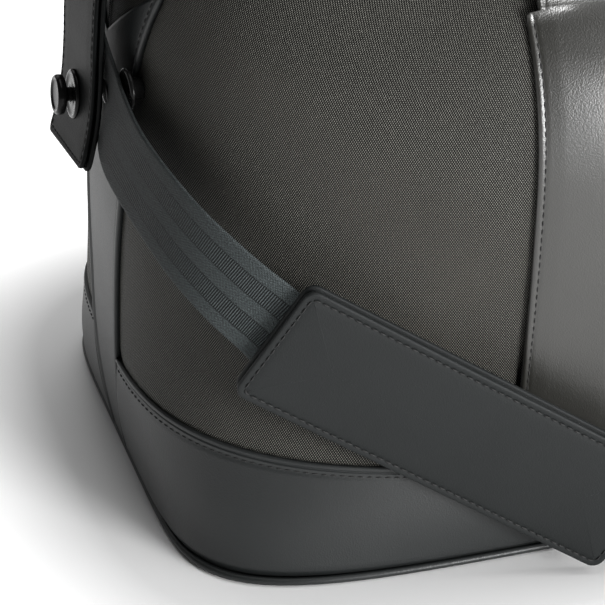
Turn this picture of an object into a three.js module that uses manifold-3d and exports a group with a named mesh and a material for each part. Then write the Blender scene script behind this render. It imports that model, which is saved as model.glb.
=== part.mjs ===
// Weekender bag: woven body, smooth leather base, end gussets and handle bands, a top zip and a
// webbing shoulder strap with a leather pad. Millimetres, +Z up, the front faces -Y.
import * as THREE from 'three';
import { mergeVertices } from 'three/addons/utils/BufferGeometryUtils.js';
import Module from 'manifold-3d';

const wasm = await Module();
wasm.setup();

// ---- driving sizes ---------------------------------------------------------------------------
const FIT = 0.35; // clearance between sewn or touching pieces
const COVER = 2.2; // leather or woven cover with its backing
const LINING = 1.2;
const LINING_GAP = 1.7; // the lining hangs loose inside the cover
const LEATHER_PROUD = 0.9; // leather lies this far outside the woven cover
const OVERALL = { halfLength: 270, halfDepth: 140, height: 300 };
const BULGE = { length: 7, depth: 14 }; // how far the filled body swells past its base outline
const CORNER = { base: 5.8, top: 3.02, fade: 45 }; // plan roundness: a higher value is squarer
const BASE_BAND = { middle: 50, corner: 61, piping: 4.4 };
const PIPING = { radius: 1.8, outset: 0.9 };
const GUSSET = { bottom: 12, low: 21, middle: 31, stud: 38, top: 58, vLow: 212, vSlope: 0.7 };
const MOUTH = { halfLength: 185, halfWidth: 12 };
const TAPE = { inner: 3.9, outer: 15.2, thickness: 1.2 };
const TEETH = { inner: 2.6, root: 4.2, outer: 6.2, height: 4.1, pitch: 12, width: 6 };
const SLIDER = { length: 16, width: 15, plate: 1.7, post: 3.4, park: 166 };
const PULL = { wire: 1, width: 9, length: 13, corner: 2, eye: 2.7, leather: 24, leatherWidth: 12 };
const BAND = { width: 45, thickness: 2.2, centre: 106, top: 263 };
const RING = { wire: 1.9, width: 46, height: 17, eye: 4.4, eyeLength: 36, lift: 6.4 };
const GRIP = { radius: 7.5, rise: 118, lean: 12, wrap: 9.4, wrapLength: 100 };
const TAB = { width: 56, backing: 60, thickness: 2.1, root: 192 };
const STUD = { washer: 10.5, washerThick: 1.8, neck: 3, head: 8.2 };
const TAB_STUD = { z: 182, reach: 5.4, headThick: 4.4 };
const STRAP_STUD = { y: -27, z: 196, inset: 0.4, reach: 5, headThick: 2.3 };
const WEBBING = { width: 38, thickness: 1.8 };
const PAD = { length: 186, width: 60, thickness: 2.2, corner: 6, rail: 8 };
const PAD_START = { fromEnd: 35, fromFront: 6.5, z: 127.5 };
const PAD_ALONG = [0.827, -0.183, -0.532];
const PAD_ACROSS = [0.498, -0.202, 0.843];
const BOARD = { inset: 7, bottom: 2.55, thickness: 2.4 };
const SEGMENTS = 52; // points round the body
const ROWS = 14; // rows up the body
const ROUND = 10; // sides of rings and rolled eyes

// ---- finishes --------------------------------------------------------------------------------
const finish = (color, roughness, metalness) => ({ color, roughness, metalness });
const WOVEN = finish(0x2e2d2c, 0.8, 0);
const LEATHER = finish(0x242627, 0.5, 0);
const BLACK_METAL = finish(0x0b0b0c, 0.25, 0.9);
const WEB_FINISH = finish(0x2b2d2e, 0.7, 0);
const LINING_FINISH = finish(0x3a3a3c, 0.85, 0);
const BOARD_FINISH = finish(0x55504a, 0.9, 0);

const bag = new THREE.Group();
bag.name = 'weekender_bag';

function add(name, geometry, look) {
  const mesh = new THREE.Mesh(geometry, new THREE.MeshStandardMaterial(look));
  mesh.name = name;
  bag.add(mesh);
}

// ---- solid helpers ---------------------------------------------------------------------------
const v3 = (x, y, z) => new THREE.Vector3(x, y, z);

function bare(geometry) {
  geometry.deleteAttribute('normal');
  geometry.deleteAttribute('uv');
  return mergeVertices(geometry, 1e-4);
}

function signedVolume(positions, index) {
  let total = 0;
  for (let i = 0; i < index.length; i += 3) {
    const [a, b, c] = [0, 1, 2].map((k) => v3().fromArray(positions, index[i + k] * 3));
    total += a.dot(b.cross(c));
  }
  return total;
}

function toSolid(geometry) {
  const clean = bare(geometry);
  const vertProperties = new Float32Array(clean.attributes.position.array);
  const triVerts = new Uint32Array(clean.index.array);
  return new wasm.Manifold(new wasm.Mesh({ numProp: 3, vertProperties, triVerts }));
}

function toGeometry(solid) {
  const mesh = solid.getMesh();
  const geometry = new THREE.BufferGeometry();
  geometry.setAttribute('position', new THREE.BufferAttribute(mesh.vertProperties, 3));
  geometry.setIndex(new THREE.BufferAttribute(mesh.triVerts, 1));
  return geometry;
}

// Joins a row of equal point loops into one closed body, with flat ends or as an endless ring.
function sweep(loops, endless = false) {
  const size = loops[0].length;
  const positions = loops.flat().flatMap((p) => [p.x, p.y, p.z]);
  const index = [];
  const last = endless ? loops.length : loops.length - 1;
  for (let i = 0; i < last; i += 1) {
    const next = (i + 1) % loops.length;
    for (let j = 0; j < size; j += 1) {
      const k = (j + 1) % size;
      index.push(i * size + j, i * size + k, next * size + k);
      index.push(i * size + j, next * size + k, next * size + j);
    }
  }
  if (!endless) {
    const end = (loops.length - 1) * size;
    for (let j = 1; j < size - 1; j += 1) {
      index.push(0, j + 1, j);
      index.push(end, end + j, end + j + 1);
    }
  }
  if (signedVolume(positions, index) < 0) index.reverse();
  const geometry = new THREE.BufferGeometry();
  geometry.setAttribute('position', new THREE.Float32BufferAttribute(positions, 3));
  geometry.setIndex(index);
  return geometry;
}

function block(x0, x1, y0, y1, z0, z1) {
  const box = new THREE.BoxGeometry(x1 - x0, y1 - y0, z1 - z0);
  box.translate((x0 + x1) / 2, (y0 + y1) / 2, (z0 + z1) / 2);
  return box;
}

function extruded(points, depth, basis) {
  const shape = new THREE.Shape(points.map(([x, y]) => new THREE.Vector2(x, y)));
  const geometry = new THREE.ExtrudeGeometry(shape, { depth, bevelEnabled: false });
  geometry.translate(0, 0, -depth / 2);
  return geometry.applyMatrix4(new THREE.Matrix4().makeBasis(...basis));
}
const alongX = (points, depth) => extruded(points, depth, [v3(0, 1, 0), v3(0, 0, 1), v3(1, 0, 0)]);
const alongY = (points, depth) => extruded(points, depth, [v3(1, 0, 0), v3(0, 0, 1), v3(0, -1, 0)]);

function tubeAlong(axis, radius, length, centre) {
  const tube = new THREE.CylinderGeometry(radius, radius, length, ROUND + 4);
  if (axis === 'x') tube.rotateZ(Math.PI / 2);
  return tube.translate(...centre);
}

function turned(profile, segments = 20) {
  return new THREE.LatheGeometry(profile.map(([r, h]) => new THREE.Vector2(r, h)), segments);
}

const mirrored = (solid, axis) => solid.mirror(axis === 'x' ? [1, 0, 0] : [0, 1, 0]);

function lerpTable(table, value) {
  const found = table.findIndex(([key]) => key >= value);
  if (found === -1) return table[table.length - 1][1];
  if (found === 0) return table[0][1];
  const [k0, v0] = table[found - 1];
  const [k1, v1] = table[found];
  return v0 + ((v1 - v0) * (value - k0)) / (k1 - k0);
}

// ---- body shape ------------------------------------------------------------------------------
// Each station up the body: share of the height, then half-length and half-depth as a share of
// the swell (positive) or of the closing dome (negative).
const { halfLength: A0, halfDepth: B0, height: H } = OVERALL;
const swell = (share, length, depth) =>
  [share * H, A0 + BULGE.length * length, B0 + BULGE.depth * depth];
const dome = (share, length, depth) => [share * H, A0 * length, B0 * depth];
const STATIONS = [
  swell(0, 0, 0),
  swell(0.1, 0.75, 0.15),
  swell(0.2, 1, 0.22),
  swell(0.3, 0.85, 0.38),
  swell(0.42, 0.5, 0.72),
  swell(0.53, 0.08, 0.93),
  swell(0.65, -0.35, 1),
  swell(0.74, -0.7, 0.68),
  dome(0.81, 0.968, 1),
  dome(0.873, 0.948, 0.893),
  dome(0.927, 0.915, 0.743),
  dome(0.967, 0.874, 0.571),
  dome(0.99, 0.833, 0.414),
  dome(1, 0.793, 0.3),
];
const profileCurve = new THREE.CatmullRomCurve3(
  STATIONS.map(([z, a, b]) => v3(a, b, z)), false, 'centripetal');
const PROFILE = profileCurve.getSpacedPoints(ROWS);
const squareness = (z) => CORNER.top + (CORNER.base - CORNER.top) * Math.exp(-z / CORNER.fade);

function outlineLoop(a, b, n, z) {
  return Array.from({ length: SEGMENTS }, (_, i) => {
    const angle = (2 * Math.PI * (i + 0.5)) / SEGMENTS;
    const c = Math.cos(angle);
    const s = Math.sin(angle);
    const r = (Math.abs(c / a) ** n + Math.abs(s / b) ** n) ** (-1 / n);
    return v3(r * c, r * s, z);
  });
}

function bodySection(z) {
  const found = PROFILE.findIndex((p) => p.z >= z);
  const after = PROFILE[found];
  const before = PROFILE[found - 1];
  const share = (z - before.z) / (after.z - before.z);
  return before.clone().lerp(after, share);
}

function profileNormal(k) {
  const before = PROFILE[Math.max(k - 1, 0)];
  const after = PROFILE[Math.min(k + 1, ROWS)];
  const out = (after.x - before.x + after.y - before.y) / 2;
  return new THREE.Vector2(after.z - before.z, -out).normalize();
}

// The body pushed in by `inset` all over (out when negative), cut flat at `floor`. A `stride` of
// two keeps every second point round the body.
function bodySolid(inset, floor, stride = 1) {
  const foot = bodySection(Math.max(floor, 0.1));
  const loops = [outlineLoop(foot.x - inset, foot.y - inset, squareness(foot.z), floor)];
  PROFILE.forEach((p, k) => {
    const normal = profileNormal(k);
    const z = p.z - inset * normal.y;
    if (z < floor + 1) return;
    const push = inset * normal.x;
    loops.push(outlineLoop(p.x - push, p.y - push, squareness(p.z), z));
  });
  return toSolid(sweep(loops.map((loop) => loop.filter((_, i) => i % stride === 0))));
}

const layer = (outer, inner) => bodySolid(outer, 0).subtract(bodySolid(inner, -6));
const wovenCover = layer(0, COVER);
const leatherCover = layer(-LEATHER_PROUD, COVER);

// ---- cutting shapes --------------------------------------------------------------------------
const FAR = A0 + 130;
const GUSSET_HALF_WIDTHS = [
  [-10, GUSSET.bottom],
  [0, GUSSET.bottom],
  [50, GUSSET.low],
  [95, GUSSET.low + 3],
  [140, GUSSET.middle],
  [STRAP_STUD.z, GUSSET.stud],
  [262, GUSSET.top],
  [FAR, GUSSET.top + 2],
];

function stripPoints(margin, low, high) {
  const between = GUSSET_HALF_WIDTHS.map(([z]) => z).filter((z) => z > low && z < high);
  return [low, ...between, high].map((z) => [lerpTable(GUSSET_HALF_WIDTHS, z) + margin, z]);
}
const withMirror = (side) => [...side, ...side.map(([y, z]) => [-y, z]).reverse()];

const stripAll = (margin) => toSolid(alongX(withMirror(stripPoints(margin, -10, 340)), 2 * FAR));

// height where the V-shaped end of the zip panel meets the gusset edge
const V_MEET = 250;
const vAt = (y) => GUSSET.vLow + GUSSET.vSlope * Math.abs(y);

function gussetShape() {
  const side = stripPoints(0, BASE_BAND.piping, V_MEET);
  side[side.length - 1][1] = vAt(side[side.length - 1][0]);
  return toSolid(alongX([...withMirror(side), [0, GUSSET.vLow]].slice(0, side.length)
    .concat([[0, GUSSET.vLow]], side.map(([y, z]) => [-y, z]).reverse()), 2 * FAR));
}

function zipPanelShape() {
  const side = stripPoints(0, V_MEET, 340);
  side[0][1] = vAt(side[0][0]) + FIT * 1.4;
  const points = [[0, GUSSET.vLow + FIT * 1.4], ...side];
  return toSolid(alongX([...points, ...side.map(([y, z]) => [-y, z]).reverse()], 2 * FAR));
}

const PAST_END = A0 + 30;

function bandEdge(margin) {
  const rise = BASE_BAND.corner - BASE_BAND.middle;
  const steps = 24;
  const points = [];
  for (let i = 0; i <= steps; i += 1) {
    const x = -PAST_END + (2 * PAST_END * i) / steps;
    const share = Math.min(Math.abs(x) / A0, 1);
    points.push([x, BASE_BAND.middle + rise * share ** 3 + margin]);
  }
  return points;
}
const belowBand = (margin, low) =>
  toSolid(alongY([[-PAST_END, low], ...bandEdge(margin), [PAST_END, low]].reverse(), 2 * FAR));

const frontHalf = toSolid(block(-FAR, FAR, -FAR, -FIT / 2, -20, FAR));
const leftEnd = toSolid(block(-FAR, 70 - A0, -FAR, FAR, -20, FAR));

// ---- base ------------------------------------------------------------------------------------
function makeBase() {
  const inset = 2 * PIPING.radius - PIPING.outset + FIT;
  const edge = squareness(0);
  const plate = (d, z0, z1) =>
    sweep([outlineLoop(A0 - d, B0 - d, edge, z0), outlineLoop(A0 - d, B0 - d, edge, z1)]);
  add('bottom_panel', plate(inset, 0, COVER), LEATHER);
  add('bottom_board', plate(BOARD.inset, BOARD.bottom, BOARD.bottom + BOARD.thickness), BOARD_FINISH);

  const centreInset = PIPING.radius - PIPING.outset;
  const path = outlineLoop(A0 - centreInset, B0 - centreInset, edge, PIPING.radius + FIT);
  add('base_piping', cordRing(path, PIPING.radius, 8), LEATHER);

  const band = leatherCover
    .intersect(frontHalf)
    .intersect(belowBand(0, BASE_BAND.piping))
    .subtract(stripAll(FIT));
  add('base_band_front', toGeometry(band), LEATHER);
  add('base_band_back', toGeometry(mirrored(band, 'y')), LEATHER);
}

// A round cord bent into a closed loop that lies in a plane with the given normal.
function cordRing(path, radius, sides, normal = v3(0, 0, 1)) {
  const loops = path.map((p, i) => {
    const before = path[(i + path.length - 1) % path.length];
    const after = path[(i + 1) % path.length];
    const side = after.clone().sub(before).cross(normal).normalize();
    return Array.from({ length: sides }, (_, k) => {
      const angle = (2 * Math.PI * k) / sides;
      return p.clone()
        .addScaledVector(side, radius * Math.cos(angle))
        .addScaledVector(normal, radius * Math.sin(angle));
    });
  });
  return sweep(loops, true);
}

// ---- panels, gussets and zip panel -----------------------------------------------------------
function makePanels() {
  const panel = wovenCover
    .intersect(frontHalf)
    .subtract(belowBand(FIT, -20))
    .subtract(stripAll(FIT));
  add('panel_front', toGeometry(panel), WOVEN);
  add('panel_back', toGeometry(mirrored(panel, 'y')), WOVEN);

  const gusset = leatherCover.intersect(gussetShape()).intersect(leftEnd);
  add('gusset_left', toGeometry(gusset), LEATHER);
  add('gusset_right', toGeometry(mirrored(gusset, 'x')), LEATHER);

  const { halfLength, halfWidth } = MOUTH;
  const mouth = toSolid(block(-halfLength, halfLength, -halfWidth, halfWidth, 200, FAR));
  const strip = wovenCover.intersect(zipPanelShape()).intersect(frontHalf).subtract(mouth);
  add('zip_panel_front', toGeometry(strip), WOVEN);
  add('zip_panel_back', toGeometry(mirrored(strip, 'y')), WOVEN);
}

function makeLining() {
  const outer = COVER + LINING_GAP;
  const floor = BOARD.bottom + BOARD.thickness + FIT;
  const shell = bodySolid(outer, floor, 2)
    .subtract(bodySolid(outer + LINING, floor + LINING, 2));
  const reach = MOUTH.halfLength + 2;
  const half = TAPE.outer + FIT;
  const mouth = toSolid(block(-reach, reach, -half, half, 200, FAR));
  add('lining', toGeometry(shell.subtract(mouth)), LINING_FINISH);
}

// ---- zip -------------------------------------------------------------------------------------
const TAPE_TOP = H - COVER - FIT - 0.05;

function makeZip() {
  const reach = MOUTH.halfLength - 1;
  const tapeBottom = TAPE_TOP - TAPE.thickness;
  const tape = toSolid(block(-reach, reach, -TAPE.outer, -TAPE.inner, tapeBottom, TAPE_TOP));
  const run = MOUTH.halfLength - 6;
  const comb = [[-run, -TEETH.outer], [run, -TEETH.outer]];
  for (let x = run; x > -run + TEETH.pitch; x -= TEETH.pitch) {
    comb.push([x, -TEETH.inner], [x - TEETH.width, -TEETH.inner]);
    comb.push([x - TEETH.width, -TEETH.root], [x - TEETH.pitch, -TEETH.root]);
  }
  comb.push([-run, -TEETH.root]);
  const teeth = new THREE.ExtrudeGeometry(
    new THREE.Shape(comb.map(([x, y]) => new THREE.Vector2(x, y))),
    { depth: TEETH.height, bevelEnabled: false });
  teeth.translate(0, 0, TAPE_TOP - TEETH.height / 2 - TAPE.thickness / 2);
  const half = tape.add(toSolid(teeth));
  add('zip_tape_front', toGeometry(half), BLACK_METAL);
  add('zip_tape_back', toGeometry(mirrored(half, 'y')), BLACK_METAL);

  const stopX = run + FIT;
  const stopTop = TAPE_TOP + 2;
  const crossBar = toSolid(block(-stopX - 3, -stopX, -7, 7, TAPE_TOP + FIT, stopTop));
  const plug = toSolid(block(-stopX - 3, -stopX, -2.2, 2.2, tapeBottom, stopTop - 0.5));
  const stop = crossBar.add(plug);
  add('zip_stop_left', toGeometry(stop), BLACK_METAL);
  add('zip_stop_right', toGeometry(mirrored(stop, 'x')), BLACK_METAL);
}

function makeSliders() {
  const middle = TAPE_TOP - TAPE.thickness / 2;
  const up = TEETH.height / 2 + FIT;
  const halfL = SLIDER.length / 2;
  const halfW = SLIDER.width / 2;
  const plateTop = middle + up + SLIDER.plate;
  const x = -SLIDER.park;
  const hingeZ = plateTop + 2.6;
  const body = toSolid(block(x - halfL, x + halfL, -halfW, halfW, middle + up, plateTop))
    .add(toSolid(block(x - halfL, x + halfL, -halfW, halfW, middle - up - SLIDER.plate, middle - up)))
    .add(toSolid(block(x - 3, x + 3, -SLIDER.post / 2, SLIDER.post / 2, middle - up - 0.5, plateTop)))
    .add(toSolid(block(x - 4.5, x + 4.5, -1.5, 1.5, plateTop - 0.5, hingeZ + 3)))
    .subtract(toSolid(tubeAlong('y', PULL.wire + FIT, 6, [x, 0, hingeZ])));
  add('zip_slider_left', toGeometry(body), BLACK_METAL);
  add('zip_slider_right', toGeometry(mirrored(body, 'x')), BLACK_METAL);

  const link = roundedLoop(PULL.length, PULL.width, PULL.corner)
    .map(([along, across]) => v3(x + along, across, hingeZ));
  const pull = toSolid(cordRing(link, PULL.wire, ROUND - 2));
  add('zip_pull_left', toGeometry(pull), BLACK_METAL);
  add('zip_pull_right', toGeometry(mirrored(pull, 'x')), BLACK_METAL);

  const eyeX = x + PULL.length;
  const eyeHalf = PULL.width / 2 - PULL.corner - FIT / 2;
  const leather = toSolid(tubeAlong('y', PULL.eye, 2 * eyeHalf, [eyeX, 0, hingeZ]))
    .add(toSolid(block(eyeX, eyeX + 5, -eyeHalf, eyeHalf, hingeZ - 1.2, hingeZ + 1.2)))
    .add(toSolid(pullTongue(eyeX + 4, hingeZ)))
    .subtract(toSolid(tubeAlong('y', PULL.wire + FIT, 12, [eyeX, 0, hingeZ])));
  add('pull_leather_left', toGeometry(leather), LEATHER);
  add('pull_leather_right', toGeometry(mirrored(leather, 'x')), LEATHER);
}

function pullTongue(start, z) {
  const half = PULL.leatherWidth / 2;
  const end = start + PULL.leather;
  const outline = [[start, -3], [start + 4, -half], [end - 3, -half], [end, -half + 3],
    [end, half - 3], [end - 3, half], [start + 4, half], [start, 3]];
  const loop = (height) => outline.map(([px, py]) => v3(px, py, z + height));
  return sweep([loop(-1.2), loop(1.2)]);
}

// A rectangle with rounded corners, from 0 to `length` along and centred across.
function roundedLoop(length, width, corner) {
  const points = [];
  const steps = 3;
  const centres = [[length - corner, width / 2 - corner, 0], [corner, width / 2 - corner, 90],
    [corner, -width / 2 + corner, 180], [length - corner, -width / 2 + corner, 270]];
  centres.forEach(([cx, cy, from]) => {
    for (let i = 0; i <= steps; i += 1) {
      const angle = ((from + (90 * i) / steps) * Math.PI) / 180;
      points.push([cx + corner * Math.cos(angle), cy + corner * Math.sin(angle)]);
    }
  });
  return points;
}

// ---- handle bands, rings and grips -----------------------------------------------------------
function frontY(x, z) {
  const p = bodySection(z);
  const n = squareness(z);
  return -p.y * (1 - Math.abs(x / p.x) ** n) ** (1 / n);
}

// A point `lift` outside the front of the body at height z, in the plane of the handle bands.
function offFront(z, lift) {
  const slope = (frontY(BAND.centre, z + 2) - frontY(BAND.centre, z - 2)) / 4;
  const normal = new THREE.Vector2(-1, slope).normalize();
  return v3(0, frontY(BAND.centre, z) + normal.x * lift, z + normal.y * lift);
}
const EYE = offFront(BAND.top, RING.lift);

function slab(from, to, x, half, thickness) {
  const away = v3(1, 0, 0).cross(to.clone().sub(from)).normalize().multiplyScalar(thickness / 2);
  const corners = [from.clone().add(away), from.clone().sub(away), to.clone().sub(away),
    to.clone().add(away)];
  return sweep([x - half, x + half].map((at) => corners.map((c) => c.clone().setX(at))));
}

const LEAN = (GRIP.lean * Math.PI) / 180;
const UP = v3(0, Math.sin(LEAN), Math.cos(LEAN));
const RING_NORMAL = v3(1, 0, 0).cross(UP);
const handlePoint = (x, up) => v3(x, 0, 0).add(EYE).addScaledVector(UP, up);

function makeHandles() {
  const thick = layer(-2 * FIT - BAND.thickness, -2 * FIT);
  const half = BAND.width / 2;
  const x = -BAND.centre;
  const strip = thick
    .intersect(toSolid(block(x - half, x + half, -FAR, -FIT, 0, BAND.top)))
    .subtract(belowBand(FIT, -20));
  const eyeAt = [x, EYE.y, EYE.z];
  const foot = offFront(BAND.top - 10, 3 * FIT + BAND.thickness / 2);
  const band = strip
    .add(toSolid(slab(foot, EYE, x, RING.eyeLength / 2, BAND.thickness)))
    .add(toSolid(tubeAlong('x', RING.eye, RING.eyeLength, eyeAt)))
    .subtract(toSolid(tubeAlong('x', RING.wire + FIT, 60, eyeAt)));
  const loop = roundedLoop(RING.height, RING.width, 5)
    .map(([along, across]) => handlePoint(x + across, along));
  const ring = toSolid(cordRing(loop, RING.wire, ROUND, RING_NORMAL));
  const grip = gripSolid();
  const wrap = wrapSolid();
  [['front', (s) => s], ['back', (s) => mirrored(s, 'y')]].forEach(([side, place]) => {
    add(`handle_band_${side}_left`, toGeometry(place(band)), LEATHER);
    add(`handle_band_${side}_right`, toGeometry(place(mirrored(band, 'x'))), LEATHER);
    add(`handle_ring_${side}_left`, toGeometry(place(ring)), BLACK_METAL);
    add(`handle_ring_${side}_right`, toGeometry(place(mirrored(ring, 'x'))), BLACK_METAL);
    add(`handle_grip_${side}`, toGeometry(place(grip)), LEATHER);
    add(`handle_wrap_${side}`, toGeometry(place(wrap)), LEATHER);
  });
}

const GRIP_PATH = new THREE.CatmullRomCurve3([
  [-BAND.centre, RING.height + 6],
  [-BAND.centre, RING.height + 24],
  [-BAND.centre + 6, GRIP.rise * 0.62],
  [-BAND.centre + 34, GRIP.rise * 0.93],
  [-45, GRIP.rise],
  [0, GRIP.rise + 1],
  [45, GRIP.rise],
  [BAND.centre - 34, GRIP.rise * 0.93],
  [BAND.centre - 6, GRIP.rise * 0.62],
  [BAND.centre, RING.height + 24],
  [BAND.centre, RING.height + 6],
].map(([x, up]) => handlePoint(x, up)));

function roundSweep(points, radius, sides) {
  return sweep(points.map((p, i) => {
    const before = points[Math.max(i - 1, 0)];
    const after = points[Math.min(i + 1, points.length - 1)];
    const side = after.clone().sub(before).cross(RING_NORMAL).normalize();
    return Array.from({ length: sides }, (_, k) => {
      const angle = (2 * Math.PI * k) / sides;
      return p.clone()
        .addScaledVector(side, radius * Math.cos(angle))
        .addScaledVector(RING_NORMAL, radius * Math.sin(angle));
    });
  }));
}

function gripSolid() {
  let grip = toSolid(roundSweep(GRIP_PATH.getSpacedPoints(32), GRIP.radius, 12));
  const eyeLength = RING.width - 2 * RING.wire - 10;
  [-1, 1].forEach((side) => {
    const x = side * BAND.centre;
    const centre = handlePoint(x, RING.height);
    const tongue = new THREE.BoxGeometry(eyeLength - 4, 5, 22);
    tongue.rotateX(-LEAN);
    tongue.translate(...handlePoint(x, RING.height + 11.5));
    grip = grip
      .add(toSolid(tubeAlong('x', RING.eye, eyeLength, [centre.x, centre.y, centre.z])))
      .add(toSolid(tongue))
      .subtract(toSolid(tubeAlong('x', RING.wire + FIT, 60, [centre.x, centre.y, centre.z])));
  });
  return grip;
}

function wrapSolid() {
  const points = GRIP_PATH.getSpacedPoints(32)
    .filter((p) => Math.abs(p.x) <= GRIP.wrapLength / 2);
  const outer = toSolid(roundSweep(points, GRIP.wrap, 12));
  const first = points[0].clone().addScaledVector(points[0].clone().sub(points[1]), 2);
  const final = points[points.length - 1];
  const last = final.clone().addScaledVector(final.clone().sub(points[points.length - 2]), 2);
  const bore = roundSweep([first, ...points, last], GRIP.radius + FIT, 12);
  return outer.subtract(toSolid(bore));
}

const STRAP_FACE = A0 - STRAP_STUD.inset;

// ---- zip-end tabs and studs ------------------------------------------------------------------
const TAB_PATH = new THREE.CatmullRomCurve3([
  [-TAB.root, H + FIT + TAB.thickness / 2],
  [-TAB.root - 20, H + FIT + TAB.thickness / 2],
  [32 - A0, H - 1],
  [12 - A0, H - 13],
  [-0.5 - A0, H - 33],
  [-7 - A0, H - 57],
  [-12.5 - A0, H - 100],
  [-17.5 - A0, H - 148],
].map(([x, z]) => v3(x, 0, z)), false, 'centripetal');

function tabSolid(width, offset) {
  const points = TAB_PATH.getSpacedPoints(20);
  const loops = points.map((p, i) => {
    const before = points[Math.max(i - 1, 0)];
    const after = points[Math.min(i + 1, points.length - 1)];
    const along = after.clone().sub(before).normalize();
    const out = v3(along.z, 0, -along.x);
    const near = p.clone().addScaledVector(out, offset - TAB.thickness / 2);
    const far = p.clone().addScaledVector(out, offset + TAB.thickness / 2);
    const side = v3(0, width / 2, 0);
    return [near.clone().sub(side), near.clone().add(side), far.clone().add(side),
      far.clone().sub(side)];
  });
  return toSolid(sweep(loops));
}

function placeStud(geometry, origin, tilt) {
  geometry.rotateZ(Math.PI / 2);
  geometry.rotateY(tilt);
  return geometry.translate(...origin);
}

const ringProfile = (inner, outer, bottom, top) =>
  [[inner, bottom], [outer, bottom], [outer, top - 0.6], [outer - 0.6, top], [inner, top],
    [inner, bottom]];

function studPieces(base, reach, headThick) {
  const washerTop = base + STUD.washerThick;
  const headBottom = washerTop + reach;
  const headTop = headBottom + headThick;
  const washer = turned(ringProfile(STUD.neck + FIT, STUD.washer, base, washerTop));
  const edge = Math.min(headThick * 0.3, 1.2);
  const knob = turned([[0, base], [STUD.neck, base], [STUD.neck, headBottom - edge],
    [STUD.neck + 1.2, headBottom], [STUD.head - edge, headBottom], [STUD.head, headBottom + edge],
    [STUD.head, headTop - edge], [STUD.head - edge, headTop], [0, headTop]]);
  return { washer, knob };
}

function makeTabs() {
  const inner = tabSolid(TAB.backing, 0);
  const outer = tabSolid(TAB.width, TAB.thickness + FIT);
  const near = TAB_PATH.getSpacedPoints(200).reduce((best, p) =>
    (p.x < 10 - A0 && Math.abs(p.z - TAB_STUD.z) < Math.abs(best.z - TAB_STUD.z) ? p : best));
  const tilt = Math.atan2(5, 48);
  const stand = TAB.thickness * 1.5 + 2 * FIT + 0.1;
  const stud = studPieces(stand, TAB_STUD.reach, TAB_STUD.headThick);
  const pieces = {
    end_tab_backing: [inner, LEATHER],
    end_tab: [outer, LEATHER],
    tab_washer: [toSolid(placeStud(stud.washer, [near.x, 0, near.z], tilt)), BLACK_METAL],
    tab_knob: [toSolid(placeStud(stud.knob, [near.x, 0, near.z], tilt)), BLACK_METAL],
  };
  Object.entries(pieces).forEach(([name, [solid, look]]) => {
    add(`${name}_left`, toGeometry(solid), look);
    add(`${name}_right`, toGeometry(mirrored(solid, 'x')), look);
  });
}

function makeStrapStuds() {
  const stud = studPieces(0, STRAP_STUD.reach, STRAP_STUD.headThick);
  const at = [-STRAP_FACE, STRAP_STUD.y, STRAP_STUD.z];
  const pieces = { strap_washer: stud.washer, strap_knob: stud.knob };
  Object.entries(pieces).forEach(([name, geometry]) => {
    const solid = toSolid(placeStud(geometry, at, 0));
    add(`${name}_left`, toGeometry(solid), BLACK_METAL);
    add(`${name}_right`, toGeometry(mirrored(solid, 'x')), BLACK_METAL);
  });
}

// ---- shoulder strap --------------------------------------------------------------------------
const along = v3(...PAD_ALONG).normalize();
const across = v3(...PAD_ACROSS).addScaledVector(along, -v3(...PAD_ACROSS).dot(along)).normalize();
const outward = along.clone().cross(across);
const padStart = v3(PAD_START.fromEnd - A0, PAD_START.fromFront - B0, PAD_START.z);
const padAt = (distance) => padStart.clone().addScaledVector(along, distance);
const STRAP_PLANE = STRAP_FACE + STUD.washerThick + STRAP_STUD.reach / 2;

// Centre line of the webbing and the way its outer face looks, from the left stud to the right.
function strapStations() {
  const reach = (STRAP_STUD.y - padStart.y) / 106.5;
  const forward = (distance) => STRAP_STUD.y - distance * reach;
  const end = [
    [v3(-STRAP_PLANE, STRAP_STUD.y + 16, STRAP_STUD.z + 17), v3(-1, 0, 0)],
    [v3(-STRAP_PLANE, STRAP_STUD.y, STRAP_STUD.z), v3(-1, 0, 0)],
    [v3(-STRAP_PLANE, forward(19), STRAP_STUD.z - 16), v3(-1, 0, 0)],
    [v3(-STRAP_PLANE + 1.6, forward(41), STRAP_STUD.z - 26.5), v3(-0.95, -0.3, 0)],
    [v3(2.5 - A0, forward(60), 161), v3(-0.86, -0.5, 0)],
    [v3(10 - A0, forward(76), 152), v3(-0.74, -0.67, 0)],
    [v3(15 - A0, forward(90), 145), v3(-0.6, -0.8, -0.03)],
  ];
  const pad = [-14, -6, 20, 90, 150, PAD.length + 6, PAD.length + 14].map((s) => [padAt(s), outward.clone()]);
  const low = [
    [v3(-56, -31 - B0, 21.6), v3(-0.12, -0.99, -0.02)],
    [v3(-25, -34 - B0, 19.7), v3(-0.05, -1, 0)],
    [v3(20, -35 - B0, 19.6), v3(0, -1, 0)],
    [v3(70, -33 - B0, 23.5), v3(0.04, -1, 0)],
    [v3(120, -23 - B0, 39), v3(0.1, -0.99, 0)],
    [v3(165, -13 - B0, 66), v3(0.16, -0.98, 0)],
    [v3(205, 1 - B0, 97), v3(0.26, -0.96, -0.04)],
  ];
  const away = end.map(([p, n]) => [v3(-p.x, p.y, p.z), v3(-n.x, n.y, n.z)]).reverse();
  return [...end, ...pad, ...low, ...away];
}

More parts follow.
